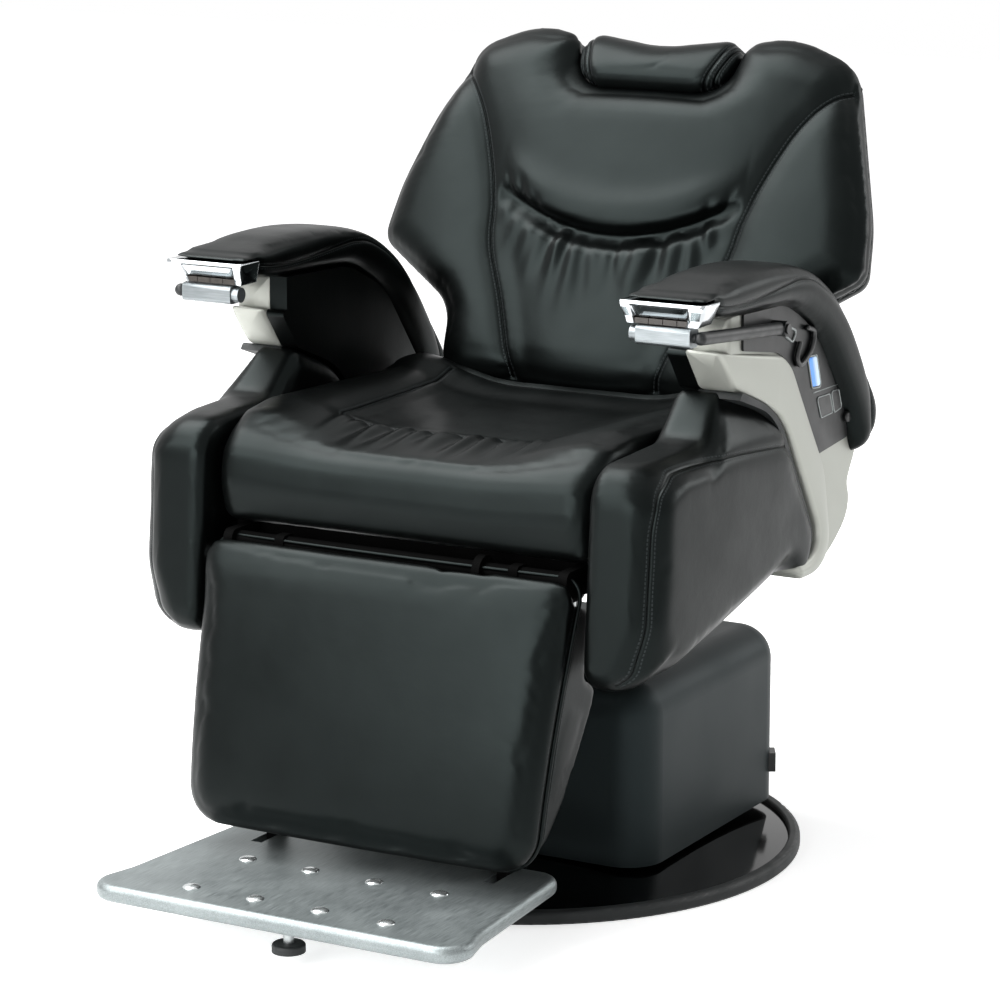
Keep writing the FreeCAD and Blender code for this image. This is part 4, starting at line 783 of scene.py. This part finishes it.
# Arm pads: foam arches over the arms, from the cap in front down behind the elbow. A welted seam on
# each side joins the top leather to the border.
PAD_MID, PAD_HALF, PAD_ROWS, PAD_TAPER = 299.5, 51.0, 160, 25
pad_top = through([(-230, 724.5), (-200, 730), (-165, 734.5), (-120, 739), (-40, 738), (46, 726),
                   (110, 700), (165, 659), (211, 602), (243, 556), (256, 531), (253, 511), (240, 491),
                   (221, 475)], PAD_ROWS)
pad_under = through([(-230, 722.5), (-200, 721), (-186, 700), (-140, 693), (-55, 689.5), (14, 684),
                     (60, 664), (100, 637), (145, 588), (178, 545), (192, 518), (199, 501), (206, 486),
                     (215, 474)], PAD_ROWS)
turn = np.linspace(0, 2 * np.pi, 72, endpoint=False)
wide = np.sign(np.cos(turn)) * np.abs(np.cos(turn)) ** (2 / 3.6)
high = np.sign(np.sin(turn)) * np.abs(np.sin(turn)) ** (2 / 2.9)
middle, reach = (pad_top + pad_under) / 2, (pad_top - pad_under) / 2
line = middle[:, None] + high[None, :, None] * reach[:, None]
shut = np.clip((np.arange(PAD_ROWS) - (PAD_ROWS - 1 - PAD_TAPER)) / PAD_TAPER, 0, 1)
pad_x = PAD_MID + PAD_HALF * np.sqrt(1 - 0.85 * shut[:, None] ** 2) * wide
pad_rows = np.concatenate([pad_x[..., None], line], -1)
pad_left = stuffed("arm_pad_left_leather", *skin(pad_rows), leather, 4.5, 2.5)
pad_seam = through([(-235, 715), (-196, 713), (-143, 708), (-91, 709), (-12, 715), (28, 716), (70, 708),
                    (128, 677), (188, 622), (222, 560), (232, 500)], 120)
spot, up = surface(pad_left)
gap, run = beside(spot[:, 1:], pad_seam)
flank = ease(np.abs(up[:, 0]), 0.35, 0.7)
push = -flank * bells(gap, (1.6, 3), (1.6, 9))
move_to(pad_left, spot + up * push[:, None])
sew(pad_left, [(np.where(flank > 0.3, gap, 1e3), run)])
pad_right = other_hand(pad_left, "arm_pad_right_leather")
for made, side in ((pad_left, "left"), (pad_right, "right")):
    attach(made, "seat_unit")
    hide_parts("arm_pad_" + side)


# Backrest: a foam front on a ply board, and a padded rear cover, both in the same leather. Curved
# seams set the wings off from the middle, and the upper pad overhangs a gathered lumbar panel.
LEAN = np.radians(26.5)
BACK_Y, BACK_Z, BACK_DEEP, COVER_FRONT = 124, 553, 62, 57
RIM_SEAM, GATHERS = 56, 21
half_back = [(203, -10, 40), (212, 84, 66), (334, 166, 26), (325, 240, 260), (265, 437, 48),
             (178, 467, 120), (124, 456, 22), (100, 384, 46)]
back_outline = rounded(half_back + [(-x, s, r) for x, s, r in half_back[::-1]], 520)


def on_back(x, s, d):
    """From across, up the slope and depth behind the front plane to space."""
    y, z = d * np.cos(LEAN) + s * np.sin(LEAN), s * np.cos(LEAN) - d * np.sin(LEAN)
    return np.stack([x, BACK_Y + y, BACK_Z + z], 1)


def off_back(points):
    """From space to across, up the slope and depth."""
    y, z = points[:, 1] - BACK_Y, points[:, 2] - BACK_Z
    return points[:, 0], y * np.sin(LEAN) + z * np.cos(LEAN), y * np.cos(LEAN) - z * np.sin(LEAN)


wing_line = through([(300, 420), (258, 388), (224, 346), (197, 289), (174, 221), (163, 162), (131, 88),
                     (104, 14), (98, -10)], 90)


def crease(x):
    """Height of the lumbar crease: a shallow smile between the wing seams."""
    return 186 + 60 * (x / 174) ** 2


def inside(x, s):
    """Distance across from the wing seam at that height, positive towards the middle."""
    return np.interp(s, wing_line[::-1, 1], wing_line[::-1, 0]) - np.abs(x)


def lumbar(x, s):
    """1 on the lumbar panel, below the crease and between the wing seams, 0 elsewhere."""
    return ease(crease(x) - s, -4, 10) * ease(inside(x, s), -4, 30)


def back_near(q, x, s):
    """Front: a broad crown, a rolled edge and the sunk lumbar panel."""
    high = ease(s, 300, 430)
    edge = roll(q, 46 + 14 * high, 26 + 4 * high)
    return 3 + x ** 2 / 8000 + 9 * ease(s, 320, 480) + edge + 6 * lumbar(x, s)


back_shell = slab(back_outline * [0.994, 0.991] + [0, 2], (0, 60), back_near,
                  lambda q, x, s: BACK_DEEP + 0 * q, 80, on_back)
back = stuffed("back_cushion_leather", *back_shell, leather, 5.5, 6)
gather_seed = np.random.default_rng(11)
gather_at = np.linspace(-142, 152, GATHERS) + gather_seed.uniform(-5, 5, GATHERS)
gather_long = gather_seed.uniform(60, 150, GATHERS) * (1 - 0.4 * (gather_at / 170) ** 2)
gather_wide = gather_seed.uniform(7.5, 12.0, GATHERS)
gather_deep = gather_seed.uniform(2.4, 4.4, GATHERS)
gather_skew = gather_at / 700 + gather_seed.uniform(-0.1, 0.1, GATHERS)
# Short tucks above the crease, near its ends: place, length, width, depth and slant
tucks = ((-150, 30, 6, 3, -0.3), (-128, 38, 7, 3, -0.25), (-104, 26, 6, 2, -0.2), (148, 30, 6, 3, 0.3),
         (126, 26, 6, 2, 0.2))
spot, up = surface(back)
x, s, d = off_back(spot)
ahead = -(up[:, 1] * np.cos(LEAN) - up[:, 2] * np.sin(LEAN))
front = ease(ahead, 0.15, 0.5)
wing_gap, wing_run = beside(np.stack([np.abs(x), s], 1), wing_line)
below = crease(x) - s
between = ease(inside(x, s), 0, 26)
taper = 1 - np.clip(np.abs(x) / 168, 0, 1) ** 5
lip = taper * (bells(below + 30, (5, 22)) - bells(below - 3, (17, np.where(below < 3, 8, 15))))
gathers = zip(gather_at, gather_long, gather_wide, gather_deep, gather_skew)
fold = gathered(x, below, gathers, (0.5, 1.8), (3, 14), 16)
fold -= gathered(x, -below, tucks, (0, 0), (-2, 4), 6)
pull = 5 - bells(wing_gap, (2.2, 3.5), (3.5, 14), (6, 45))
push = front * (lip + between * fold + pull)
edge_gap, edge_run = beside(np.stack([x, s], 1), np.concatenate([back_outline, back_outline[:1]]))
rim = (np.abs(edge_gap) < 14) & (ahead < 0.75)
push -= np.where(rim, bells(d - RIM_SEAM, (1.6, 4)), 0)
move_to(back, spot + up * push[:, None])
sew(back, [(np.where(front > 0.4, wing_gap, 1e3), wing_run),
           (np.where(rim, d - RIM_SEAM, 1e3), edge_run)])
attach(back, "backrest")
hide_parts("back_cushion")


def cover_far(q, x, s):
    """Rear face: a flat crown with a soft rolled edge."""
    return 97 + 4 * np.minimum(q / 120, 1) ** 0.5 - roll(q, 40, 30)


cover_outline = back_outline * [0.978, 0.98] + [0, 4]
cover_outline[:, 1] -= 12 * (1 - ease(cover_outline[:, 1], 0, 80))
cover_shell = slab(cover_outline, (0, 60), lambda q, x, s: COVER_FRONT + 0 * q, cover_far, 50, on_back)
back_cover = piece("back_cover_leather", *cover_shell, leather_plain)
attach(back_cover, "backrest")
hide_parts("back_cover")


# Headrest: a saddle-shaped foam roll under the same leather, with a gusset let into each end. It is
# screwed to two chromed posts that slide in guides behind the notch of the back.
HEAD_REAR = 95
head_outline = rounded([(100, 381, 47), (122, 464, 24), (0, 444, 160), (-122, 464, 24),
                        (-100, 381, 47)], 320)


def head_near(q, x, s):
    """Front: a full roll."""
    return 1 + 20 * ease(s, 388, 466) + roll(q, 26, 22)


head_shell = slab(head_outline * [0.985, 1.0], (0, 415), head_near,
                  lambda q, x, s: HEAD_REAR - roll(q, 18), 50, on_back)
head = stuffed("headrest_leather", *head_shell, leather, 4, 4)
spot, up = surface(head)
x, s, d = off_back(spot)
end = 90 + (s - 388) * 0.3
seams = [np.abs(x) - end, np.abs(x) - end + 11]
push = -sum(bells(gap, (1.4, 3), (1.2, 8)) for gap in seams)
move_to(head, spot + up * push[:, None])
sew(head, [(gap, s + d) for gap in seams])
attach(head, "headrest")
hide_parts("headrest_cushion")


# Studio: a white sweep that the camera and the bright metal see as white, while the chair is lit at
# a plain level by the room and by four soft boxes.
def lamp(name, spot, target, wide, high, power):
    """Soft box that faces a point."""
    data = bpy.data.lights.new(name, "AREA")
    data.shape, data.size, data.size_y, data.energy = "RECTANGLE", wide, high, power
    made = bpy.data.objects.new(name, data)
    made.location = spot
    made.rotation_euler = (Vector(target) - Vector(spot)).to_track_quat("-Z", "Y").to_euler()
    bpy.context.scene.collection.objects.link(made)


lamp("top_box", (-1.35, -0.2, 3.2), (0, 0, 0.6), 2.0, 2.4, 156)
lamp("front_box", (-1.3, -2.1, 2.35), (0, 0, 0.6), 1.9, 2.1, 97)
lamp("low_box", (-0.25, -2.75, 0.95), (0.1, 0, 0.5), 1.8, 1.0, 46)
lamp("side_box", (2.4, 2.6, 1.7), (0, 0, 0.4), 1.8, 1.4, 36)


def in_sight(tree):
    """1 on rays from the camera, from bright surfaces and through clear ones, 0 on rays that light."""
    seen = 0.0
    for kind in ("Is Camera Ray", "Is Glossy Ray", "Is Transmission Ray"):
        ray = add(tree, "LightPath", out=kind)
        seen = add(tree, "Math", operation="MAXIMUM", in0=seen, in1=ray)
    return seen


ROOM_LIGHT = 0.15
world = bpy.data.worlds.new("white_room")
world.use_nodes = True
tree = world.node_tree
level = add(tree, "MapRange", value=in_sight(tree), in1=0.0, in2=1.0, in3=ROOM_LIGHT, in4=1.0)
background = tree.nodes["Background"]
background.inputs["Color"].default_value = (1, 1, 1, 1)
link(tree, background, Strength=level)
bpy.context.scene.world = world

# Floor paint: clean matt white with a faint drift of tone, brighter away from the chair
FLOOR_HALF = 9000
floor_paint, tree, shader, place = finish("white_floor", Roughness=0.9, Specular_IOR_Level=0.1)
drift = add(tree, "TexNoise", vector=place, scale=2.0)
tone = add(tree, "Mix", out=2, data_type="RGBA", in0=drift, in6=linear("#f6f6f6"), in7=linear("#fafafa"))
away = add(tree, "VectorMath", out="Value", operation="LENGTH", in0=place)
shine = add(tree, "MapRange", value=away, in1=1.2, in2=4.0, in3=0.74, in4=1.0)
level = add(tree, "Math", operation="MULTIPLY", in0=in_sight(tree), in1=shine)
link(tree, shader, Base_Color=tone, Emission_Color=tone, Emission_Strength=level)
corners = np.array([(-1, -1, 0), (1, -1, 0), (1, 1, 0), (-1, 1, 0)], float)
floor = piece("floor", corners * FLOOR_HALF, [[0, 1, 2, 3]], floor_paint)
floor.location.z = -0.0005

camera = bpy.data.cameras.new("camera")
camera.lens, camera.sensor_width, camera.sensor_fit = 135.2, 36.0, "HORIZONTAL"
eye = bpy.data.objects.new("camera", camera)
target, turn, pitch, reach = Vector((-0.03663, 0, 0.41907)), np.radians(29.31), np.radians(12.48), 4.533
level = np.cos(pitch)
eye.location = target + reach * Vector((np.sin(turn) * level, -np.cos(turn) * level, np.sin(pitch)))
eye.rotation_euler = (target - eye.location).to_track_quat("-Z", "Y").to_euler()
bpy.context.scene.collection.objects.link(eye)
bpy.context.scene.camera = eye
bpy.context.scene.view_settings.view_transform = "Standard"
